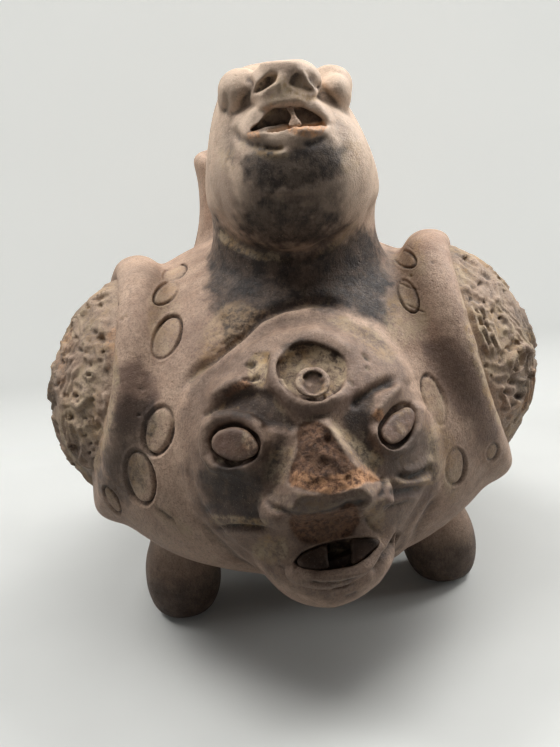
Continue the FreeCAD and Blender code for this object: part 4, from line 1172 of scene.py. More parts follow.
COLLAR_CRUSTS = (
    ((103, 350), (117, 348), (120, 380), (115, 405), (108, 440), (98, 470), (88, 470), (97, 430), (103, 400)),
    ((456, 262), (468, 262), (478, 330), (494, 376), (510, 418), (500, 426), (482, 390), (466, 340)),
)


def work_body():
    """Presses the cane ovals and seams into the body, and stains it."""
    if "worked" in SHARED:
        return SHARED["worked"]
    mesh = thin_inside(luted_body())
    spots = [(oval[0], oval[1] * 1.35 + 3) for oval in LEFT_OVALS + RIGHT_OVALS]
    mesh = refine(mesh, spots)
    clay = Clay(mesh)
    hand_wander(clay)
    work_face_edge(clay)
    press_ovals(clay)
    clay.press(((107, 298), (110, 312), (116, 331)), 1.3, 1.6, taper=0.1)
    for crust in COLLAR_CRUSTS:
        clay.roughen(crust, 3, 0.6, 1.4)
    clay.settle()
    clay.press([(152, 504), (166, 516), (180, 524), (197, 540)], 2.2, 0.7, lip=0.2)
    work_shoulders(clay)
    find_hollows(clay, in_mm("body_detail"))
    stain_and_shade_body(clay)
    SHARED["worked"] = clay
    SHARED["tree"] = clay.tree()
    return clay


def clays():
    if "materials" not in SHARED:
        colours = bpy.context.scene.effigy_colours
        shade = lambda value, factor: tuple(c * factor for c in value[:3]) + (1.0,)
        plain = (colours.pale_clay, colours.deep_clay)
        SHARED["materials"] = {
            "shoulder": clay_material("Shoulder clay", *plain),
            "head": clay_material("Head clay", *plain),
            "face": clay_material("Face clay", *plain),
            "relief": clay_material(
                "Crusted relief clay", colours.relief_clay, shade(colours.relief_clay, 0.42),
                dustiness=0.8, grain=1.6, pits=1.5, wiping=0.3, streaks=0.5,
            ),
            "pellet": clay_material("Pellet clay", colours.pellet_clay, shade(colours.pellet_clay, 0.5)),
            "tooth": clay_material("Sooty tooth clay", colours.tooth_clay, shade(colours.tooth_clay, 0.4)),
        }
    return SHARED["materials"]


# What each piece takes of the worked body: its node, its slot, which is not read, and the box it is cut with,
# in mm.
BODY_SHARES = (
    ("left_rolled_collar", "left_collar", "shoulder_clay", (-200, -200, -50), (-56, 200, 250)),
    ("right_rolled_collar", "right_collar", "shoulder_clay", (56, -200, -50), (200, 200, 250)),
    ("front_left_foot_bulb", "front_left_foot", "smoked_clay", (-56, -60, -50), (-12, 10, 20)),
    ("front_right_foot_bulb", "front_right_foot", "smoked_clay", (24, -60, -50), (56, 10, 20)),
    ("rear_foot_bulb", "rear_foot", "smoked_clay", (-30, 30, -50), (30, 90, 20)),
    ("crown_bowl", "body_upper_bowl", "shoulder_clay", (-200, -200, BODY_HEIGHT), (200, 200, 250)),
)


class EFFIGY_OT_body(bpy.types.Operator):
    """The two bowls of the body, with the rolled collars and the feet luted on"""

    bl_idname = "effigy.body"
    bl_label = "Body, collars and feet"

    def execute(self, context):
        clay = work_body()
        rest = carve(clay.mesh, face_zone(), "DIFFERENCE")
        rest = carve(rest, box_tool((-NECK_HALF, -200, NECK_CUT), (NECK_HALF, 200, 250)), "DIFFERENCE")
        for name, node, slot, low, high in BODY_SHARES:
            box = box_tool(low, high)
            part = clay.mark_piece(carve(rest, box, "INTERSECT"), SHARED["tree"])
            rest = carve(rest, box, "DIFFERENCE")
            add_piece(name, part, [node], clays()["shoulder"])
        add_piece(
            "belly_bowl", clay.mark_piece(rest, SHARED["tree"]), ["body_lower_bowl"],
            clays()["shoulder"]
        )
        return {"FINISHED"}


class EFFIGY_OT_spout(bpy.types.Operator):
    """The wide spout behind the head, with its rolled lip"""

    bl_idname = "effigy.spout"
    bl_label = "Spout"

    def execute(self, context):
        clay = work_body()
        part = carve(clay.mesh, box_tool((-NECK_HALF, SPOUT_CUT, NECK_CUT), (NECK_HALF, 200, 250)), "INTERSECT")
        clay.mark_piece(part, SHARED["tree"])
        add_piece("pouring_spout", part, ["spout", "spout_lip"], clays()["shoulder"])
        return {"FINISHED"}


HEAD_BASE = ("neck", "head_shell", "head_snout")
# Balls of clay pushed into the head: the pixel, the radius and how far it stands out, in mm.
# The first four fill the snout's plain holes, and the others are the bulging eyes.
HEAD_LUMPS = (
    ((266, 90), 3.6, 1.2), ((272, 86), 3.6, 1.2), ((303, 84), 3.6, 1.2), ((308, 88), 3.6, 1.2),
    ((242, 92), 8.0, 1.0), ((238, 100), 7.0, 0.8), ((329, 88), 8.0, 1.2), ((331, 97), 7.0, 1.0),
)
HEAD_MOUTH = (
    (246, 134), (252, 128), (260, 122), (267, 113), (274, 108), (289, 107.5), (302, 107), (313, 112),
    (323, 119),
    (322, 123), (308, 124), (292, 124), (284, 123.5), (275, 126), (266, 127), (257, 130.5),
)
MOUTH_STRAND = (
    (285, 105), (291, 104), (294, 110), (296.5, 117), (301, 125), (289, 126.5), (291, 118), (288, 111)
)
HEAD_MUZZLE = (
    (232, 128), (238, 117), (250, 106), (264, 97), (280, 92), (300, 94), (316, 101), (328, 111), (331, 122),
    (325, 134), (310, 141), (288, 144), (266, 143), (246, 140),
)
CHIPPED_LIP = (
    (287, 125), (296, 124), (312, 124), (324, 121), (327, 127), (322, 134), (312, 138), (298, 136), (288, 132)
)
CHIN_SMOKE = (
    (232, 158), (246, 148), (262, 142), (286, 148), (304, 140), (326, 138), (342, 150), (348, 172), (340, 188),
    (306, 194), (268, 193), (240, 186),
)
# Soot and painted shade on the neck under the head.
NECK_SMOKE_AND_SHADE = (
    (214, 226), (236, 246), (262, 256), (300, 256), (334, 243), (358, 224), (376, 236), (382, 262), (384, 296),
    (370, 312), (330, 306), (290, 306), (256, 318), (228, 330), (212, 310), (208, 270),
)


def work_head(clay):
    """Works the marks that the photograph shows into the head and the neck."""
    # Eyes bulge at both sides of the snout, with a groove round the right one.
    clay.dab((232, 94), 12, 1.6, squash=1.5, lean=20)
    clay.dab((336, 88), 11, 2.0, squash=1.6, lean=-30)
    clay.settle()
    clay.press(((247, 72), (250, 84), (246, 98), (238, 110)), 3.4, 1.4)
    clay.press(((306, 68), (314, 80), (324, 92), (334, 101), (343, 107)), 3.4, 1.7)
    clay.press(((224, 90), (227, 104), (223, 116)), 3.0, 0.8)
    # Snout with two nostrils.
    clay.roll(((262, 74), (268, 64), (279, 60), (292, 63), (301, 72)), 7, 1.4)
    clay.dab((279, 84), 5, 1.2, squash=1.6)
    clay.sink((
        (252, 94), (257, 85), (264, 77), (272, 73), (277, 73), (276, 81), (268, 86), (259, 92)
    ), 1.8, 3.0)
    clay.sink((
        (288, 84), (292, 75), (298, 73), (305, 77), (311, 84), (316, 92), (308, 93), (298, 90)
    ), 1.8, 2.0)
    clay.settle()
    clay.press(((254, 92), (264, 82), (275, 76)), 2.2, 1.6)
    clay.press(((290, 81), (297, 74), (306, 78)), 1.8, 0.9)
    # Muzzle and lips.
    clay.sink(HEAD_MUZZLE, 6, -1.6)
    clay.settle()
    clay.roll(((243, 131), (251, 118), (264, 106), (279, 101), (298, 100), (315, 105), (328, 115)), 4.5, 1.5)
    clay.roll(((245, 137), (258, 136), (272, 131), (286, 130), (300, 131), (318, 131), (328, 124)), 4.0, 1.6)
    clay.settle()
    clay.roughen(CHIPPED_LIP, 2.5, 0.7, 1.3)
    clay.sink(CHIPPED_LIP, 2.5, 0.5)
    clay.press(((232, 128), (238, 138), (252, 145), (266, 147)), 4.0, 1.0)
    clay.press(((262, 147), (274, 148), (286, 147)), 2.6, 1.3)
    clay.roll(((262, 154), (276, 155), (290, 152)), 2.6, 0.6)
    clay.press(((300, 144), (316, 143), (330, 134)), 3.5, 0.9)
    clay.press(((236, 119), (228, 134), (226, 150), (232, 164)), 7, 0.8)
    clay.press(((333, 112), (342, 128), (346, 146), (342, 164)), 7, 0.7)
    # Round jaw, with a faint ridge and scratches, and the crease under it.
    clay.roll(((258, 190), (276, 193), (296, 193), (320, 189)), 3.0, 0.5)
    clay.press(((262, 196), (280, 198), (310, 196)), 4.0, 0.4)
    clay.press((
        (214, 226), (228, 236), (244, 247), (264, 254), (289, 257), (310, 254), (332, 242), (354, 222)
    ), 5.0, 1.9, lip=0.2)
    clay.press(((239, 221), (254, 214), (270, 206)), 1.1, 0.4)
    clay.press(((246, 226), (262, 219), (276, 214)), 1.0, 0.3)
    for start, end in (
        ((238, 268), (252, 300)), ((300, 268), (322, 298)), ((330, 262), (346, 300)), ((262, 270), (268, 304))
    ):
        clay.press((start, end), 1.5, 0.35)
    clay.masks["pressed"] *= 0.6
    clay.settle()


HEAD_STAINS_AND_SHADE = (
    ("soot_and_shade", 13, 1.0, 0.5, CHIN_SMOKE),
    # Painted shade under the jaw, which faces down.
    ("soot_and_shade", 16, 1.0, 0.5, (
        (240, 205), (262, 198), (300, 198), (336, 204), (350, 226), (322, 246), (290, 254), (256, 248),
        (236, 230)
    )),
    # Soot and painted shade from the chin down under the jaw.
    ("soot_and_shade", 18, 0.7, 0.5, (
        (236, 152), (262, 146), (320, 144), (346, 156), (350, 225), (320, 248), (260, 250), (232, 228)
    )),
    # Painted shade on the neck under the head, with soot.
    ("soot_and_shade", 12, 1.0, 0.5, NECK_SMOKE_AND_SHADE),
    # Painted shade in the mouth's opening.
    ("soot_and_shade", 2, 0.7, 0.5, ((246, 134), (274, 107), (312, 111), (326, 121), (292, 126), (262, 131))),
    ("burnish", 3, 0.7, 0.5, ((306, 142), (316, 136), (324, 140), (322, 150), (310, 151))),
    ("burnish", 9, 0.4, 0.5, ((210, 180), (222, 160), (240, 190), (236, 220), (222, 222))),
    ("dust", 4, 0.5, 0.5, (
        (252, 94), (264, 76), (277, 72), (288, 84), (300, 74), (316, 92), (300, 96), (276, 90)
    )),
    ("dust", 4, 0.5, 0.5, ((240, 142), (262, 146), (290, 150), (290, 158), (262, 158), (240, 150))),
    ("dust", 3, 0.7, 0.5, (
        (222, 226), (240, 244), (264, 254), (290, 258), (290, 262), (258, 260), (232, 250), (218, 236)
    )),
    ("dust", 3, 0.5, 0.5, ((310, 254), (334, 240), (356, 220), (360, 226), (336, 248), (312, 260))),
    ("dust", 5, 0.4, 0.5, ((220, 150), (236, 152), (236, 172), (222, 172))),
    ("dust", 5, 0.35, 0.5, ((346, 140), (360, 142), (360, 168), (344, 180), (340, 168))),
    ("dust", 3, 0.8, 0.5, (
        (264, 98), (276, 92), (284, 76), (292, 90), (316, 96), (318, 102), (290, 101), (270, 106)
    )),
    ("rust", 2, 1.0, 0.2, CHIPPED_LIP),
    ("rust", 2, 0.8, 0.5, ((247, 132), (258, 131), (260, 137), (248, 139))),
    ("rust", 2, 0.4, 0.5, ((262, 108), (270, 102), (276, 104), (268, 112))),
)


def stain_and_shade_head(clay):
    stain_and_shade_all(clay, HEAD_STAINS_AND_SHADE)


class EFFIGY_OT_head(bpy.types.Operator):
    """The looking head and the neck under it"""

    bl_idname = "effigy.head"
    bl_label = "Looking head"

    def execute(self, context):
        base = carve(luted_body(), box_tool((-52, -200, 138), (52, SPOUT_CUT, 250)), "INTERSECT")
        plain = Clay(joined_with_nodes(base, HEAD_BASE))
        plugs = [ball(plain, *lump_) for lump_ in HEAD_LUMPS]
        mesh = remesh(joined(plain.mesh, *plugs), in_mm("head_detail"))
        clay = Clay(smoothed(mesh, 1.6, in_mm("head_detail")))
        hand_wander(clay)
        work_head(clay)
        level = rim_level(clay, HEAD_MOUTH)
        clay.mesh = carve(clay.mesh, sight_tool(clay, HEAD_MOUTH, 12, 9), "DIFFERENCE")
        clay.rework(in_mm("head_detail"), 0.35)
        find_hollows(clay, in_mm("head_detail"))
        stain_and_shade_body(clay)
        stain_and_shade_head(clay)
        mesh = carve(
            clay.mesh, box_tool((-NECK_HALF, -200, NECK_CUT), (NECK_HALF, SPOUT_CUT, 250)), "INTERSECT"
        )
        clay.mark_piece(mesh)
        add_piece("looking_head", mesh, HEAD_NODES, clays()["head"])
        strand = Clay(lump(level, MOUTH_STRAND, -1.0, 4.0, in_mm("pad_detail"), 0.5))
        strand.points += strand.normals * (layered_noise(strand.points, 2.4, 3, 77) * 0.5 * MM)[:, None]
        strand.settle()
        find_hollows(strand, in_mm("pad_detail"))
        strand.masks["rust"] = 0.35 * ramp(layered_noise(strand.points, 3, 2, 12), -0.2, 0.4)
        strand.mark_piece(strand.mesh)
        add_piece("mouth_strand", strand.mesh, ["head_mouth_bridge"], clays()["head"])
        return {"FINISHED"}


def joined(*meshes):
    work = bmesh.new()
    for mesh in meshes:
        work.from_mesh(mesh)
    return taken(work, "joined")


def ball(clay, spot, radius, proud):
    """A ball of clay pushed in at a pixel, its radius and how far it stands out in mm."""
    x, y = spot
    around = [clay.nearest_depth(x + dx, y + dy) for dx, dy in ((-16, 0), (16, 0), (0, -14), (0, 14))]
    depth = float(np.median([d for d in around if d < np.inf])) + radius - proud
    start, way = sight(x, y)
    work = bmesh.new()
    bmesh.ops.create_icosphere(work, subdivisions=3, radius=radius * MM)
    middle = start + way * (depth * MM / -way.dot(camera_axes()[2]))
    bmesh.ops.translate(work, verts=work.verts, vec=middle)
    return taken(work, "ball")


def joined_with_nodes(mesh, names):
    """A mesh and copies of CAD nodes in one mesh, ready to be wiped into one."""
    work = bmesh.new()
    work.from_mesh(mesh)
    for name in names:
        work.from_mesh(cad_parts[name].data)
    return taken(work, "joined")


# Marks on the face, read off the photograph in its pixels.
BROW_PIT = (
    (279, 366), (281, 358), (286, 351), (293, 347), (302, 345), (314, 345), (326, 349), (336, 354), (345, 361),
    (347, 368), (347, 376), (342, 385), (334, 392), (322, 398), (308, 398), (297, 394), (288, 389), (281, 380),
)
BROW_RING = (
    (287, 349), (278, 357), (273, 367), (273, 379), (279, 391), (291, 401), (306, 407), (322, 405), (336, 397),
    (348, 387),
)
LEFT_SOCKET = (
    (209, 440), (213, 433), (222, 427.5), (234, 426), (246, 428), (256, 435), (260, 445), (256, 455),
    (245, 461),
    (232, 462.5), (219, 459), (211, 450),
)
LEFT_RING = (
    (206, 442), (208, 428), (219, 419), (234, 417), (248, 420), (259, 429), (264, 441), (260, 456), (248, 467),
    (232, 471), (216, 466), (208, 455), (206, 442),
)
RIGHT_SOCKET = (
    (380, 427), (385, 418), (393, 409), (403, 402), (412, 403), (415, 413), (413, 427), (407, 438), (399, 447),
    (391, 449), (384, 443), (380, 435),
)
RIGHT_RING = (
    (373, 423), (375, 434), (381, 445), (390, 451), (401, 449), (411, 440), (417, 426), (418, 410), (413, 400)
)
RIGHT_LID = ((371, 420), (377, 408), (385, 399), (394, 390), (402, 383))
LEFT_BROW = ((208, 405), (217, 395), (229, 386), (243, 382), (256, 385))
NOSE_FACET = (
    (303, 421), (297, 432), (297, 450), (291, 468), (288, 482), (291, 486), (306, 490), (330, 495), (350, 490),
    (366, 482), (382, 481), (370, 476), (358, 468), (348, 458), (336, 442), (328, 428), (318, 421),
)
NOSE_UNDERSIDE = (
    (264, 492), (272, 487), (290, 489), (308, 493), (330, 497), (350, 492), (368, 485), (381, 483), (379, 491),
    (368, 497), (350, 502), (332, 509), (310, 513), (290, 511), (274, 505), (265, 498),
)
PHILTRUM = (
    (291, 514), (300, 516), (330, 513), (348, 502), (358, 504), (359, 523), (352, 535), (338, 540), (318, 543),
    (302, 541), (294, 533), (288, 521),
)
MOUTH = (
    (294, 562), (302, 552), (318, 545), (334, 540), (350, 538), (366, 537), (380, 540), (378, 547), (368, 557),
    (354, 566), (338, 569), (318, 571), (302, 568),
)
DARK_UNDER_BROW = (
    (206, 415), (220, 399), (237, 390), (259, 387), (271, 393), (285, 411), (297, 426), (290, 431), (275, 427),
    (263, 427), (255, 419), (245, 415), (220, 413),
)
GOUGED = ((255, 354), (269, 352), (268, 367), (265, 387), (255, 387), (249, 375), (247, 365))


def work_face(clay):
    """Works every mark that the photograph shows into the broad face."""
    work_face_edge(clay)
    # Forehead eye: a ring with a pit, open at its top.
    clay.roll(BROW_RING, 7.5, 3.6, taper=0.18, sharp=1.4)
    clay.roll(((287, 345), (299, 337), (316, 334), (334, 340), (348, 351), (354, 364)), 7, 1.7, taper=0.25)
    clay.settle()
    clay.sink(BROW_PIT, 2.4, 3.6)
    clay.settle()
    clay.press(((287, 352), (295, 347), (308, 345), (322, 348), (335, 355), (343, 362)), 3.0, 1.3, taper=0.15)
    clay.press((
        (281, 363), (290, 362), (297, 364), (301, 359), (311, 357), (322, 362), (331, 364), (340, 371)
    ), 1.1, 0.5, taper=0.1)
    clay.press(((348, 380), (353, 385)), 1.6, 0.7, taper=0)
    clay.roughen(BROW_PIT, 3, 0.5, 1.3)
    # Brows, gouged at the left.
    clay.roll(LEFT_BROW, 7, 2.2, taper=0.3)
    clay.sink(DARK_UNDER_BROW, 6, 2.4)
    clay.settle()
    clay.sink(GOUGED, 2.5, 1.1)
    clay.roughen(GOUGED, 3, 0.7, 1.2)
    clay.roughen(((222, 391), (236, 382), (248, 379), (250, 386), (238, 391), (226, 396)), 3, 0.8, 1.3)
    clay.press(((243, 366), (249, 364), (256, 361)), 1.8, 1.3)
    clay.press(((241, 380), (250, 378), (259, 375)), 2.4, 1.9, taper=0.1)
    clay.roll(RIGHT_LID, 6.5, 2.6, taper=0.25)
    clay.roll(((392, 355), (404, 370), (412, 384)), 8, 0.8, taper=0.3)
    clay.settle()
    clay.press(((352, 408), (360, 398), (372, 390), (386, 382), (399, 380)), 4.4, 2.6, taper=0.2)
    clay.sink((
        (331, 422), (345, 405), (358, 395), (372, 394), (377, 402), (369, 420), (372, 440), (376, 454),
        (360, 452), (345, 440)
    ), 7, 1.6)
    clay.press(((362, 352), (366, 357), (371, 361)), 2.0, 1.1)
    clay.press(((364, 366), (371, 371)), 1.5, 0.8)
    # Left eye.
    clay.roll(LEFT_RING, 5.4, 2.6, taper=0, sharp=1.3)
    clay.settle()
    clay.sink(LEFT_SOCKET, 1.8, 1.8)
    clay.press(((212, 455), (222, 463), (236, 465), (250, 461), (259, 452)), 2.4, 1.0, taper=0.15)
    clay.press(((211, 437), (219, 428), (232, 424), (246, 427)), 2.2, 0.8, taper=0.2)
    # Right eye.
    clay.roll(RIGHT_RING, 5.0, 2.3, taper=0.12, sharp=1.3)
    clay.settle()
    clay.sink(RIGHT_SOCKET, 1.8, 1.8)
    clay.press(((385, 446), (382, 434), (384, 424), (393, 411), (404, 403)), 2.4, 1.0, taper=0.12)
    clay.roughen(((371, 413), (377, 407), (385, 408), (384, 417), (376, 424), (371, 421)), 2, 0.5, 1.1)
    clay.settle()
    # Nose: a torn flat front, a smooth underside and two wings.
    clay.sink(NOSE_FACET, 2.0, 0.9)
    clay.settle()
    clay.roughen(NOSE_FACET, 2.5, 1.2, 2.2)
    clay.roughen(NOSE_FACET, 2.5, 0.8, 0.9, seed=31)
    clay.roughen(NOSE_UNDERSIDE, 3, 0.4, 1.8)
    clay.press(((296, 487), (312, 492), (330, 497), (346, 494), (362, 488)), 2.2, 0.5)
    clay.dab((328, 439), 3.2, -2.6)
    clay.dab((347.5, 479), 2.4, -1.9)
    clay.dab((320, 470), 2.0, -0.8)
    clay.dab((303, 433), 3.0, -0.8)
    clay.press((
        (263, 497), (272, 507), (288, 514), (310, 516.5), (332, 512), (352, 505), (372, 500)
    ), 3.0, 1.3, taper=0.12)
    clay.press(((379, 472), (385, 482), (384, 492), (377, 499)), 2.6, 1.4)
    clay.press(((287, 432), (279, 450), (270, 470), (262, 488)), 6, 0.8)
    # Cheeks.
    clay.press(((213, 529), (224, 528), (240, 527), (256, 528), (272, 531)), 2.6, 1.8, lip=0.3)
    clay.roll(((208, 516), (228, 519), (250, 520), (268, 524)), 4.5, 0.9)
    for x in range(214, 272, 4):
        clay.press(((x, 514 + (x - 214) * 0.12), (x + 1.5, 523 + (x - 214) * 0.12)), 1.2, 0.3, taper=0)
    clay.sink(((205, 485), (225, 480), (250, 483), (262, 496), (250, 508), (220, 508)), 7, 0.9)
    clay.roll(((400, 476), (414, 470), (425, 463), (433, 456)), 4.5, 1.4)
    clay.press(((393, 475), (409, 477), (423, 473), (432, 463)), 3.4, 1.7, lip=0.2)
    clay.roll(((391, 482), (410, 482), (432, 477)), 4.0, 1.5)
    clay.press(((386, 493), (405, 491), (425, 487)), 3.8, 1.3)
    clay.roll(((386, 502), (404, 500), (420, 496)), 3.5, 0.8)
    clay.press(((380, 510), (394, 506), (412, 500)), 2.6, 0.8)
    for x in range(400, 430, 4):
        clay.press(((x, 462), (x + 3, 473)), 1.3, 0.35, taper=0)
    clay.settle()
    # Philtrum, mouth and chin.
    clay.sink(PHILTRUM, 2.5, 1.3)
    clay.settle()
    clay.roughen(PHILTRUM, 2.5, 0.9, 1.5)
    clay.roughen(PHILTRUM, 2.5, 0.4, 0.7, seed=43)
    clay.press(((364, 512), (368, 524), (378, 534)), 1.7, 0.9)
    clay.press(((358, 505), (364, 516), (372, 528), (384, 535)), 1.2, 0.6)
    clay.roll(((298, 574), (318, 579), (342, 578), (362, 571), (378, 558)), 3.4, 1.3)
    clay.press(((304, 580), (320, 583.5), (342, 583), (360, 577)), 1.8, 1.5, taper=0.2)
    clay.press(((330, 589), (344, 587), (358, 581)), 1.4, 0.7)
    clay.press(((400, 531), (394, 541), (388, 552), (381, 564), (371, 576)), 3.4, 2.8, taper=0.2, lip=0.35)
    clay.roll(((394, 524), (386, 540), (381, 552)), 4.0, 0.8)
    clay.press(((344, 597), (352, 595), (359, 591)), 1.1, 0.6)
    clay.press(((274, 563), (281, 567), (288, 569)), 1.1, 0.6)
    clay.sink(((258, 549), (266, 541), (279, 539), (284, 547), (268, 558), (256, 558)), 3, 0.5)
    clay.roughen(((250, 545), (268, 536), (284, 540), (286, 556), (268, 566), (252, 560)), 4, 0.5, 1.5)
    clay.settle()


FACE_STAINS_AND_SHADE = (
    # Painted shade in the mouth's opening.
    ("soot_and_shade", 1.5, 0.9, 0.5, MOUTH),
    # Painted shade in the broad hollow of the left cheek, with soot.
    ("soot_and_shade", 10, 0.95, 0.5, (
        (199, 470), (222, 462), (262, 470), (266, 490), (262, 520), (230, 520), (205, 512)
    )),
    # Painted shade under the left brow.
    ("soot_and_shade", 6, 0.8, 0.5, DARK_UNDER_BROW),
    ("soot_and_shade", 8, 0.6, 0.5, ((255, 455), (270, 440), (285, 455), (278, 485), (260, 490))),
    ("soot_and_shade", 8, 0.95, 0.5, (
        (345, 420), (356, 400), (372, 392), (374, 405), (368, 430), (374, 452), (384, 462), (372, 470),
        (352, 445)
    )),
    ("soot_and_shade", 3, 0.6, 0.5, (
        (281, 346), (300, 338), (330, 345), (346, 356), (346, 368), (330, 362), (300, 356), (284, 362)
    )),
    ("soot_and_shade", 5, 0.5, 0.5, ((382, 462), (432, 462), (434, 478), (386, 480))),
    ("soot_and_shade", 9, 0.55, 0.5, ((380, 448), (402, 440), (426, 428), (436, 446), (428, 468), (392, 472))),
    ("soot_and_shade", 3, 0.4, 0.5, (
        (264, 492), (300, 494), (332, 500), (376, 488), (378, 498), (332, 512), (290, 513), (266, 502)
    )),
    ("burnish", 3, 0.75, 0.5, NOSE_UNDERSIDE),
    ("dust", 3, 0.25, 0.5, NOSE_UNDERSIDE),
    ("burnish", 4, 0.5, 0.5, ((203, 500), (240, 508), (262, 514), (262, 524), (210, 520))),
    ("burnish", 4, 0.5, 0.5, ((386, 486), (428, 482), (428, 497), (388, 500))),
    ("burnish", 5, 0.45, 0.5, (
        (268, 360), (276, 385), (300, 405), (330, 404), (350, 388), (356, 372), (362, 385), (345, 410),
        (310, 418), (280, 405), (266, 380)
    )),
    ("burnish", 5, 0.35, 0.5, LEFT_RING[:-1]),
    ("dust", 2, 0.8, 0.5, BROW_PIT),
    ("dust", 3, 0.9, 0.5, GOUGED),
    ("dust", 6, 0.55, 0.5, (
        (270, 452), (284, 448), (296, 440), (295, 465), (286, 484), (268, 486), (262, 475)
    )),
    ("dust", 5, 0.6, 0.5, ((330, 428), (342, 446), (356, 460), (376, 472), (384, 460), (366, 448), (346, 430))),
    ("dust", 3, 0.5, 0.5, ((382, 478), (430, 475), (434, 484), (388, 486))),
    ("dust", 3, 0.7, 0.5, ((208, 514), (268, 520), (268, 526), (212, 524))),
    ("dust", 5, 0.7, 0.5, ((250, 546), (268, 536), (284, 540), (286, 556), (268, 564), (252, 558))),
    ("dust", 4, 0.5, 0.5, ((360, 502), (384, 498), (384, 534), (366, 520))),
    ("dust", 6, 0.5, 0.5, ((330, 320), (350, 318), (378, 332), (398, 352), (392, 364), (368, 344))),
    ("broken", 2, 1.0, 0.2, NOSE_FACET),
    ("rust", 4, 0.1, 0.5, NOSE_FACET),
    ("rust", 4, 0.75, 0.5, (
        (289, 472), (300, 468), (322, 476), (344, 472), (362, 466), (382, 480), (366, 484), (350, 491),
        (330, 496), (306, 491), (289, 487)
    )),
    ("soot_and_shade", 6, 0.6, 0.5, ((300, 424), (318, 422), (334, 440), (340, 456), (318, 452), (300, 446))),
    ("broken", 2.5, 0.8, 0.5, PHILTRUM),
    ("rust", 4, 0.16, 0.5, PHILTRUM),
    ("broken", 4, 0.8, 0.5, ((222, 391), (236, 382), (248, 379), (250, 386), (238, 391), (226, 396))),
    ("rust", 3, 0.4, 0.5, ((232, 386), (246, 380), (250, 385), (238, 391))),
    ("rust", 2.5, 0.9, 0.5, ((372, 415), (376, 408), (384, 408), (384, 417), (377, 423))),
)


def stain_and_shade_face(clay):
    stain_and_shade_all(clay, FACE_STAINS_AND_SHADE)


class EFFIGY_OT_face(bpy.types.Operator):
    """The broad face pressed on the front"""

    bl_idname = "effigy.face"
    bl_label = "Broad face"

    def execute(self, context):
        base = carve(luted_body(), box_tool((-64, -130, 16), (60, -10, 156)), "INTERSECT")
        mesh = remesh(joined_with_nodes(base, FACE_BASE), in_mm("face_detail"))
        clay = Clay(smoothed(mesh, 1.1, in_mm("face_detail")))
        hand_wander(clay)
        press_ovals(clay)
        work_shoulders(clay)
        work_face(clay)
        SHARED["level"] = {name: rim_level(clay, rim) for name, rim in RIMS.items()}
        clay.mesh = carve(clay.mesh, sight_tool(clay, MOUTH, 12, 9), "DIFFERENCE")
        clay.rework(in_mm("face_detail"), 0.35)
        find_hollows(clay, in_mm("face_detail"))
        stain_and_shade_body(clay)
        stain_and_shade_face(clay)
        mesh = clay.mark_piece(carve(clay.mesh, face_zone(), "INTERSECT"))
        add_piece("broad_face", mesh, FACE_NODES, clays()["face"])
        return {"FINISHED"}


# Rims that the separate pads on the face sit in, and the pads' outlines, in pixels.
RIMS = {"boss": BROW_RING, "left": LEFT_RING, "right": RIGHT_RING, "mouth": MOUTH}
PADS = (
    ("forehead_boss", "mask_forehead_boss", "boss", 1.4, 5.5, 0.9, (
        (295, 383), (298, 373), (307, 368), (318, 368), (327, 373), (331, 382), (328, 391), (318, 397),
        (306, 396), (298, 391)
    )),
    ("left_eye_pellet", "mask_left_eye_pellet", "left", 0.5, 5.5, 2.2, (
        (210.5, 440.3), (215.9, 432.5), (228.5, 427.7), (241.5, 427.7), (252.4, 434.9), (259.0, 446.3),
        (256.8, 453.5), (245.9, 459.5), (233.4, 460.7), (220.3, 457.1), (212.7, 448.7)
    )),
    ("right_eye_pellet", "mask_right_eye_pellet", "right", 0.5, 5.5, 2.2, (
        (380.7, 431.0), (384.0, 422.1), (395.2, 412.0), (406.4, 406.6), (414.0, 409.8), (415.0, 422.1),
        (410.7, 431.0), (401.8, 439.9), (393.0, 444.3), (384.0, 439.9)
    )),
    ("left_tooth", "mask_left_tooth", "mouth", -2.6, 4.0, 0.7, (
        (296, 562), (303, 553), (318, 546.5), (327, 544), (328, 557), (328.5, 568), (316, 570), (303, 568)
    )),
    (
        "right_tooth", "mask_right_tooth", "mouth", -2.6, 4.0, 0.7, ((350.5, 539), (365, 537.5), (379, 541),
        (376, 548), (366, 557), (352, 565), (351, 552))
    ),
)


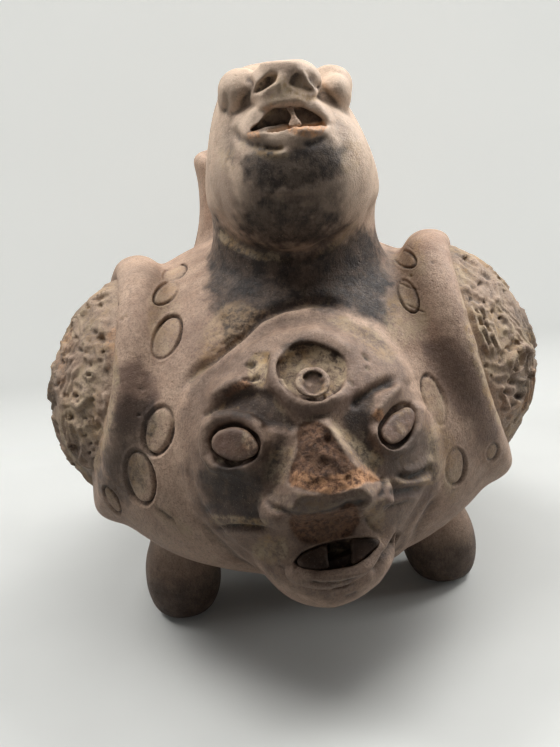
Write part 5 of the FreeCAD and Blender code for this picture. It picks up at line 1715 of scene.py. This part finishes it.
class EFFIGY_OT_pads(bpy.types.Operator):
    """The boss in the forehead eye, the pellets in the eyes, and the two teeth"""

    bl_idname = "effigy.pads"
    bl_label = "Boss, pellets and teeth"

    def execute(self, context):
        for name, node, rim, proud, thick, reach, corners in PADS:
            clay = Clay(lump(SHARED["level"][rim], corners, proud, thick, in_mm("pad_detail"), reach))
            if name == "forehead_boss":
                clay.sink((
                    (302, 384), (305, 376), (312, 373), (320, 375), (324, 381), (323, 389), (316, 393),
                    (308, 392)
                ), 2.6, 1.7)
                clay.settle()
                clay.press(((304, 380), (309, 374), (316, 373), (322, 378)), 2.2, 1.2, taper=0.15)
                clay.dab((310, 386), 3, 0.5)
            clay.points += clay.normals * (layered_noise(clay.points, 3.0, 4, 71) * 0.42 * MM)[:, None]
            clay.settle()
            clay.rework(in_mm("pad_detail"), 0.25)
            find_hollows(clay, in_mm("pad_detail"))
            if "tooth" in name:
                clay.masks["soot_and_shade"] = 0.65 + 0.35 * ramp(layered_noise(clay.points, 5, 2, 17), -0.3, 0.4)
            elif name == "forehead_boss":
                clay.masks["dust"] = 0.5 * ramp(layered_noise(clay.points, 6, 2, 29), -0.4, 0.4)
            else:
                clay.masks["burnish"] = 0.7 * ramp(layered_noise(clay.points, 7, 3, 29), -0.4, 0.3)
                clay.masks["soot_and_shade"] = 0.5 * ramp(layered_noise(clay.points, 6, 4, 53), -0.1, 0.5)
                clay.masks["dust"] = 0.5 * ramp(layered_noise(clay.points, 5, 4, 59), 0.1, 0.5)
                clay.masks["rust"] = 0.3 * ramp(layered_noise(clay.points, 5, 3, 37), 0.1, 0.5)
            clay.mark_piece(clay.mesh)
            finish = "tooth" if "tooth" in name else "pellet"
            add_piece(name, clay.mesh, [node], clays()[finish])
        return {"FINISHED"}


# --- the medallions ------------------------------------------------------------------------


def ridge(gap, width):
    return np.exp(-((gap / width) ** 2) * 1.2)


def ribbon(x, y, path, width, lines, height):
    """A band of parallel ribs along a path on the medallion, like a folded feather or sash."""
    flat = np.stack([x, y], axis=1)
    gap, along = distance_to_path(flat, [np.array(p, float) for p in path])
    inside = ramp(width / 2 - gap, -0.4, 0.8)
    ribs = 0.5 + 0.5 * np.cos(gap / (width / 2) * math.pi * lines)
    return height * inside * (0.35 + 0.65 * ribs) * ramp(along, -0.01, 0.08) * ramp(1 - along, -0.01, 0.08)


def curl(x, y, middle, size, turn, height):
    """A rolled scroll."""
    dx, dy = x - middle[0], y - middle[1]
    reach = np.hypot(dx, dy)
    around = (np.arctan2(dy, dx) - turn) / (2 * math.pi) % 1.0
    gap = np.abs(reach - size * (0.42 + 0.58 * around))
    return height * (ridge(gap, 1.15) * (reach < size * 1.3) + 0.8 * ridge(reach, 1.5))


def relief(x, y, seed):
    """A generic moulded pattern: a corded border, a ringed boss, feather fans, sashes, scrolls
    and pellets, worn and crusted. Places and heights are in millimetres."""
    flat = np.stack([x, y, np.full(len(x), seed * 40.0)], axis=1) * MM
    x = x + 1.2 * noise(flat, 13, seed + 3) + 0.35 * noise(flat, 4, seed + 13)
    y = y + 1.2 * noise(flat, 13, seed + 33) + 0.35 * noise(flat, 4, seed + 43)
    reach, angle = np.hypot(x, y), np.arctan2(y, x)
    height = 1.1 * ridge(reach - 40.5, 1.4) + 1.0 * ridge(reach - 34.0, 1.0)
    band = ramp(3.1 - np.abs(reach - 37.3), 0, 0.8)
    height += band * 0.9 * (0.5 + 0.5 * np.cos(angle * 44 + reach * 0.9)) ** 2
    height += 1.9 * ridge(reach - 7.2, 1.4) + 1.7 * ridge(reach, 2.9)
    height += 0.9 * ridge(reach - 11.2, 0.7)
    fan = ramp(reach, 12.5, 14) * ramp(-reach, -31, -27) * ramp(-np.abs(angle + math.pi / 2), -0.95, -0.8)
    height += fan * 1.5 * (0.5 + 0.5 * np.cos((angle + math.pi / 2) * 17)) ** 0.7
    height += ribbon(x, y, ((-30, -8), (-24, 3), (-15, 11), (-13, 22)), 7.5, 3, 1.8)
    height += ribbon(x, y, ((29, -9), (25, 4), (17, 12), (15, 24)), 7.5, 3, 1.8)
    height += ribbon(x, y, ((-9, 16), (-5, 27), (5, 27), (9, 16)), 5.0, 2, 1.5)
    for middle, size, turn in (
        ((-24, 17), 5.4, 0.4), ((25, 16), 5.4, 2.7), ((-19, -19), 4.6, 4.0), ((20, -20), 4.6, 5.2)
    ):
        height = np.maximum(height, curl(x, y, middle, size, turn, 1.9))
    cells = np.array(
        [
            (-29, 3), (-4, 20), (4, 31), (30, 6), (0, 17.5), (-27, -13), (27.5, -15), (-12, -8), (13, -7),
            (-6, 31), (10, 29)
        ],
        float,
    )
    for px, py in cells:
        height = np.maximum(height, 1.6 * ridge(np.hypot(x - px, y - py), 1.8))
    worn = ramp(layered_noise(flat, 15, 3, seed), -0.45, 0.3)
    height = height * (0.4 + 0.6 * worn)
    height += 0.6 * layered_noise(flat, 9, 4, seed + 20) + 0.35 * layered_noise(flat, 2.4, 3, seed + 40)
    pits = np.clip(noise(flat, 2.6, seed + 60) - 0.42, 0, 1) * 2.6
    return height - pits * ramp(layered_noise(flat, 12, 2, seed + 80), -0.1, 0.4)


# Strokes on the sides that the photograph shows, in its pixels: raised ribs and bosses, pressed
# grooves and pits, each with half its width in pixels and its height or depth in mm.
RELIEF_RIBS = {
    "left": (
        (((113, 288), (97, 298), (80, 314), (70, 328)), 4.0, 1.5),
        (((104, 318), (101, 330), (101, 340)), 4.0, 1.4),
        (((96, 342), (99, 352), (101, 362)), 2.6, 1.5), (((106, 342), (108, 356), (106, 372)), 2.4, 1.4),
        (((82, 389), (88, 398), (79, 408), (70, 400)), 2.6, 1.2), (((56, 386), (62, 396), (66, 408)), 2.6, 1.2),
        (((95, 392), (99, 402), (102, 414)), 3.0, 1.4), (((104, 392), (107, 402), (106, 412)), 2.2, 1.2),
        (((86, 419), (87, 427)), 1.3, 1.0), (((89.5, 418), (90.5, 427)), 1.3, 1.0),
        (((93, 417), (94, 427)), 1.3, 1.0),
        (((96.5, 416), (97.5, 426)), 1.3, 1.0), (((66, 440), (74, 452), (84, 464), (93, 469)), 2.0, 1.1),
        (((62, 340), (66, 348), (64, 356)), 3.0, 1.2), (((56, 370), (60, 378), (57, 386)), 3.0, 1.2),
        (((84, 340), (88, 346), (85, 352)), 2.4, 1.1),
    ),
    "right": (
        (((470, 306), (478, 330), (490, 358)), 1.8, 1.2), (((475, 304), (483, 328), (495, 356)), 1.8, 1.2),
        (((480, 302), (488, 326), (500, 352)), 1.8, 1.2),
        (((508, 366), (515, 352), (523, 347), (532, 358)), 3.0, 1.6),
        (((534, 368), (527, 376), (519, 383)), 2.6, 1.5), (((500, 384), (504, 398), (509, 410)), 2.2, 1.3),
        (((460, 252), (474, 262), (486, 276)), 3.0, 1.2), (((492, 276), (504, 292), (512, 306)), 3.0, 1.1),
        (((500, 312), (510, 326), (514, 340)), 2.6, 1.0), (((522, 398), (514, 410), (507, 418)), 2.4, 1.1),
    ),
}
RELIEF_BOSSES = {
    "left": (
        ((89.5, 375), 5.0, 1.9), ((87, 357.6), 3.0, 1.5), ((70, 358.5), 4.2, 1.6), ((72, 372), 5.5, 0.9),
        ((80, 428), 3.0, 1.2)
    ),
    "right": (
        ((465.7, 290), 4.0, 1.4), ((529, 350), 5.5, 1.2), ((497, 300), 3.5, 1.2), ((505, 330), 3.2, 1.1),
        ((478, 292), 3.0, 1.0)
    ),
}
RELIEF_PITS = {
    "left": (
        ((90, 375), 2.2, -2.6), ((90, 365), 2.0, -1.2), ((69, 417.5), 3.5, -2.2), ((73.5, 448), 3.0, -2.4),
        ((94, 332), 2.6, -1.5),
        ((80, 350), 2.4, -1.4), ((62, 362), 2.4, -1.4), ((84, 436), 2.2, -1.6), ((90, 444), 1.6, -1.4),
        ((94, 450), 1.5, -1.4),
        ((89, 453), 1.5, -1.4), ((94, 459), 1.5, -1.3), ((98, 444), 1.4, -1.2), ((76, 396), 2.0, -1.2),
        ((66, 396), 2.2, -1.5),
        ((103, 352), 1.3, -1.3), ((92, 400), 1.6, -1.5), ((76, 338), 2.0, -1.2), ((87, 306), 2.2, -1.4),
        ((100, 305), 2.0, -1.3),
    ),
    "right": (
        ((456, 245), 2.2, -1.5), ((465.7, 258), 2.4, -1.5), ((488, 264), 2.6, -1.8), ((501, 277), 2.8, -1.8),
        ((480, 283), 2.4, -1.6),
        ((485, 301), 2.2, -1.6), ((512, 382), 3.2, -2.8), ((531, 376), 3.0, -2.4), ((518, 396.6), 2.8, -2.2),
        ((505.6, 392), 2.0, -1.8),
        ((517, 342), 1.8, -1.4), ((516, 370), 2.2, -1.8), ((500, 318), 1.6, -1.2), ((492, 312), 1.6, -1.2),
        ((507, 348), 1.6, -1.2),
        ((486, 366), 1.6, -1.6), ((492, 376), 1.6, -1.6), ((470, 300), 1.8, -1.4),
    ),
}


def work_relief(clay, side):
    """The moulded and crusted marks that show from in front."""
    for path, width, height in RELIEF_RIBS[side]:
        clay.roll(path, width, height, taper=0.15)
    clay.settle()
    for spot, radius, height in RELIEF_BOSSES[side] + RELIEF_PITS[side]:
        clay.dab(spot, radius, height)
    clay.settle()


class EFFIGY_OT_medallions(bpy.types.Operator):
    """The two moulded medallions, one on each side"""

    bl_idname = "effigy.medallions"
    bl_label = "Medallions"

    def execute(self, context):
        rings, spokes = 110, 440
        reach = np.linspace(0, MEDALLION_RADIUS, rings + 1)[1:]
        around = np.linspace(0, 2 * math.pi, spokes, endpoint=False)
        r, a = (grid.ravel() for grid in np.meshgrid(reach, around, indexing="ij"))
        for side, (_, _, _, turn, seed) in MEDALLIONS.items():
            x, y = np.append(0.0, r * np.cos(a)), np.append(0.0, r * np.sin(a))
            level = np.sqrt(MEDALLION_DOME**2 - x**2 - y**2) - (MEDALLION_DOME - MEDALLION_RISE)
            t = math.radians(turn)
            height = relief(x * math.cos(t) - y * math.sin(t), x * math.sin(t) + y * math.cos(t), seed)
            height *= in_mm("relief_height") / 1.9
            level = level - 1.3 + height * ramp(-np.hypot(x, y), -43, -41.5)
            normal = np.stack([x, y, np.sqrt(MEDALLION_DOME**2 - x**2 - y**2)], axis=1) / MEDALLION_DOME
            points = np.stack([x, y, level], axis=1)
            points[:, :2] += normal[:, :2] * np.clip(height, -1, 3)[:, None] * 0.25 * ramp(
                -np.hypot(x, y), -41, -37
            )[:, None]
            foot = np.stack([43.4 * np.cos(around), 43.4 * np.sin(around), np.full(spokes, -9.0)], axis=1)
            points = np.vstack([points, foot, [[0, 0, -9.0]]])
            faces = [(0, 1 + s, 1 + (s + 1) % spokes) for s in range(spokes)]
            for ring in range(rings):
                start, after = 1 + ring * spokes, 1 + (ring + 1) * spokes
                faces += [(
                    start + s, after + s, after + (s + 1) % spokes, start + (s + 1) % spokes
                ) for s in range(spokes)]
            last = 1 + rings * spokes
            faces += [(last + (s + 1) % spokes, last + s, last + spokes) for s in range(spokes)]
            middle, turned = medallion_frame(side)
            points = eased_inside((points @ np.array(turned).T + np.array(middle)) * MM)
            mesh = build_mesh(f"{side}_relief_medallion", points, faces)
            clay = Clay(mesh)
            work_relief(clay, side)
            even = points_of(smoothed(mesh, 1.6, 0.5))
            depth = np.einsum("ij,ij->i", even - clay.points, clay.normals) / MM
            clay.masks["hollow"] = ramp(depth, 0.05, 0.5)
            clay.masks["ridge"] = ramp(-depth, 0.05, 0.45)
            clay.masks["dust"] = 0.8 * ramp(layered_noise(clay.points, 12, 4, seed + 5), -0.25, 0.3)
            clay.masks["soot_and_shade"] = 0.5 * ramp(layered_noise(clay.points, 16, 4, seed + 9), 0.0, 0.5)
            clay.masks["rust"] = 0.5 * ramp(layered_noise(clay.points, 11, 4, seed + 19), 0.25, 0.6)
            clay.mark_piece(mesh)
            add_piece(mesh.name, mesh, [f"{side}_medallion"], clays()["relief"])
        return {"FINISHED"}


# --- the stage -----------------------------------------------------------------------------


class EFFIGY_OT_stage(bpy.types.Operator):
    """The pale sweep, the soft lamps and the photograph's camera"""

    bl_idname = "effigy.stage"
    bl_label = "Stage"

    def execute(self, context):
        scene = context.scene
        right, up, back, place = camera_axes()
        lens = bpy.data.cameras.new("camera")
        lens.sensor_fit = "HORIZONTAL"
        lens.sensor_width = 36.0
        lens.lens = LENS_PIXELS * lens.sensor_width / PICTURE[0]
        lens.clip_start, lens.clip_end = 0.01, 20.0
        camera = bpy.data.objects.new("camera", lens)
        scene.collection.objects.link(camera)
        turn = Matrix((right, up, back)).transposed().to_4x4()
        camera.matrix_world = Matrix.Translation(place * MM) @ turn
        scene.camera = camera
        self.sweep(scene)
        for name, spot, size, power in (
            ("overhead lamp", (0.0, 0.0, 1.1), 0.5, 3.3),
            ("left overhead lamp", (-0.5, 0.2, 1.0), 0.4, 7.6),
            ("right overhead lamp", (0.5, 0.2, 1.0), 0.4, 5.2),
            ("left rear lamp", (-0.8, 0.45, 0.75), 0.5, 1.5),
            ("right rear lamp", (0.8, 0.45, 0.75), 0.5, 11.5),
            ("low left lamp", (-1.0, 0.1, 0.35), 0.5, 1.2),
            ("low right lamp", (1.0, 0.1, 0.35), 0.5, 3.8),
            ("front lamp", (0.0, -1.3, 0.5), 0.8, 0.7),
        ):
            lamp = bpy.data.lights.new(name, "AREA")
            lamp.shape, lamp.size, lamp.energy = "SQUARE", size, power
            item = bpy.data.objects.new(name, lamp)
            item.location = spot
            item.rotation_euler = (Vector(spot) - Vector((0, 0, 0.09))).to_track_quat("Z", "Y").to_euler()
            scene.collection.objects.link(item)
        world = bpy.data.worlds.new("studio")
        world.use_nodes = True
        world.node_tree.nodes["Background"].inputs["Color"].default_value = (0.95, 0.96, 1.0, 1)
        world.node_tree.nodes["Background"].inputs["Strength"].default_value = 0.02
        scene.world = world
        scene.view_settings.view_transform = "Standard"
        return {"FINISHED"}

    def sweep(self, scene):
        """A floor that curves up into a wall behind the jar, the paper glowing with painted light, more up the
        wall.
        """
        profile = [(-2.0, 0.0), (0.13, 0.0)]
        bend, radius = 0.165, 0.035
        for step in range(1, 13):
            angle = math.pi / 2 * step / 12
            profile.append((bend - radius + radius * math.sin(angle), radius - radius * math.cos(angle)))
        profile.append((bend, 0.34))
        work = bmesh.new()
        rows = [[work.verts.new((x, y, z)) for y, z in profile] for x in (-2.2, 2.2)]
        for i in range(len(profile) - 1):
            work.faces.new((rows[0][i], rows[1][i], rows[1][i + 1], rows[0][i + 1]))
        mesh = taken(work, "paper_sweep")
        mesh.shade_smooth()
        material = bpy.data.materials.new("Pale paper")
        material.use_nodes = True
        tree = material.node_tree
        w = Wires(tree)
        shader = tree.nodes["Principled BSDF"]
        paper = scene.effigy_colours.paper
        fibre = w.noise(millimetres(w), 60, 2, 0.5)
        tree.links.new(
            w.mix(w.span(fibre, 0.35, 0.65), tuple(c * 0.97 for c in paper), paper), shader.inputs["Base Color"]
        )
        shader.inputs["Roughness"].default_value = 0.9
        rays = w.add("LightPath")
        seen = w.math("MAXIMUM", rays.outputs["Is Camera Ray"], rays.outputs["Is Glossy Ray"])
        grey = w.add("BsdfDiffuse", {"Color": (0.2, 0.2, 0.2, 1.0)})
        sheet = w.add("MixShader", {0: seen, 1: grey.outputs["BSDF"], 2: shader.outputs["BSDF"]})
        # Painted light: to camera and glossy rays the paper glows, more up the wall, in place of lamplight on
        # the wall.
        place = w.add("SeparateXYZ", {0: millimetres(w)}).outputs
        run = w.math("ADD", place["Y"], place["Z"])
        light = w.math("MULTIPLY", seen, w.span(run, 55.0, 215.0, 0.0, 0.6))
        glow = w.add("Emission", {"Color": linear(236, 238, 234), "Strength": light})
        both = w.add("AddShader", {0: sheet.outputs["Shader"], 1: glow.outputs["Emission"]})
        behind = w.add("NewGeometry").outputs["Backfacing"]
        clear = w.add("BsdfTransparent")
        one_sided = w.add("MixShader", {0: behind, 1: both.outputs["Shader"], 2: clear.outputs["BSDF"]})
        tree.links.new(one_sided.outputs["Shader"], tree.nodes["Material Output"].inputs["Surface"])
        mesh.materials.append(material)
        item = bpy.data.objects.new("paper_sweep", mesh)
        scene.collection.objects.link(item)


OPERATORS = (
    EFFIGY_OT_body, EFFIGY_OT_spout, EFFIGY_OT_head, EFFIGY_OT_face, EFFIGY_OT_pads, EFFIGY_OT_medallions,
    EFFIGY_OT_stage,
)


class EFFIGY_PT_panel(bpy.types.Panel):
    """Lists the jar's sizes, colours and makers"""

    bl_label = "Effigy jar"
    bl_idname = "EFFIGY_PT_panel"
    bl_space_type = "VIEW_3D"
    bl_region_type = "UI"
    bl_category = "Effigy jar"

    def draw(self, context):
        layout = self.layout
        for group in (context.scene.effigy_sizes, context.scene.effigy_colours):
            box = layout.box()
            for key in group.bl_rna.properties.keys():
                if key not in {"rna_type", "name"}:
                    box.prop(group, key)
        for operator in OPERATORS:
            layout.operator(operator.bl_idname)


CLASSES = (EFFIGY_PG_sizes, EFFIGY_PG_colours) + OPERATORS + (EFFIGY_PT_panel,)


def register():
    for item in CLASSES:
        bpy.utils.register_class(item)
    bpy.types.Scene.effigy_sizes = bpy.props.PointerProperty(type=EFFIGY_PG_sizes)
    bpy.types.Scene.effigy_colours = bpy.props.PointerProperty(type=EFFIGY_PG_colours)


def unregister():
    del bpy.types.Scene.effigy_colours
    del bpy.types.Scene.effigy_sizes
    for item in reversed(CLASSES):
        bpy.utils.unregister_class(item)


def main():
    register()
    for operator in OPERATORS:
        group, name = operator.bl_idname.split(".")
        getattr(getattr(bpy.ops, group), name)()


if __name__ == "__main__":
    main()
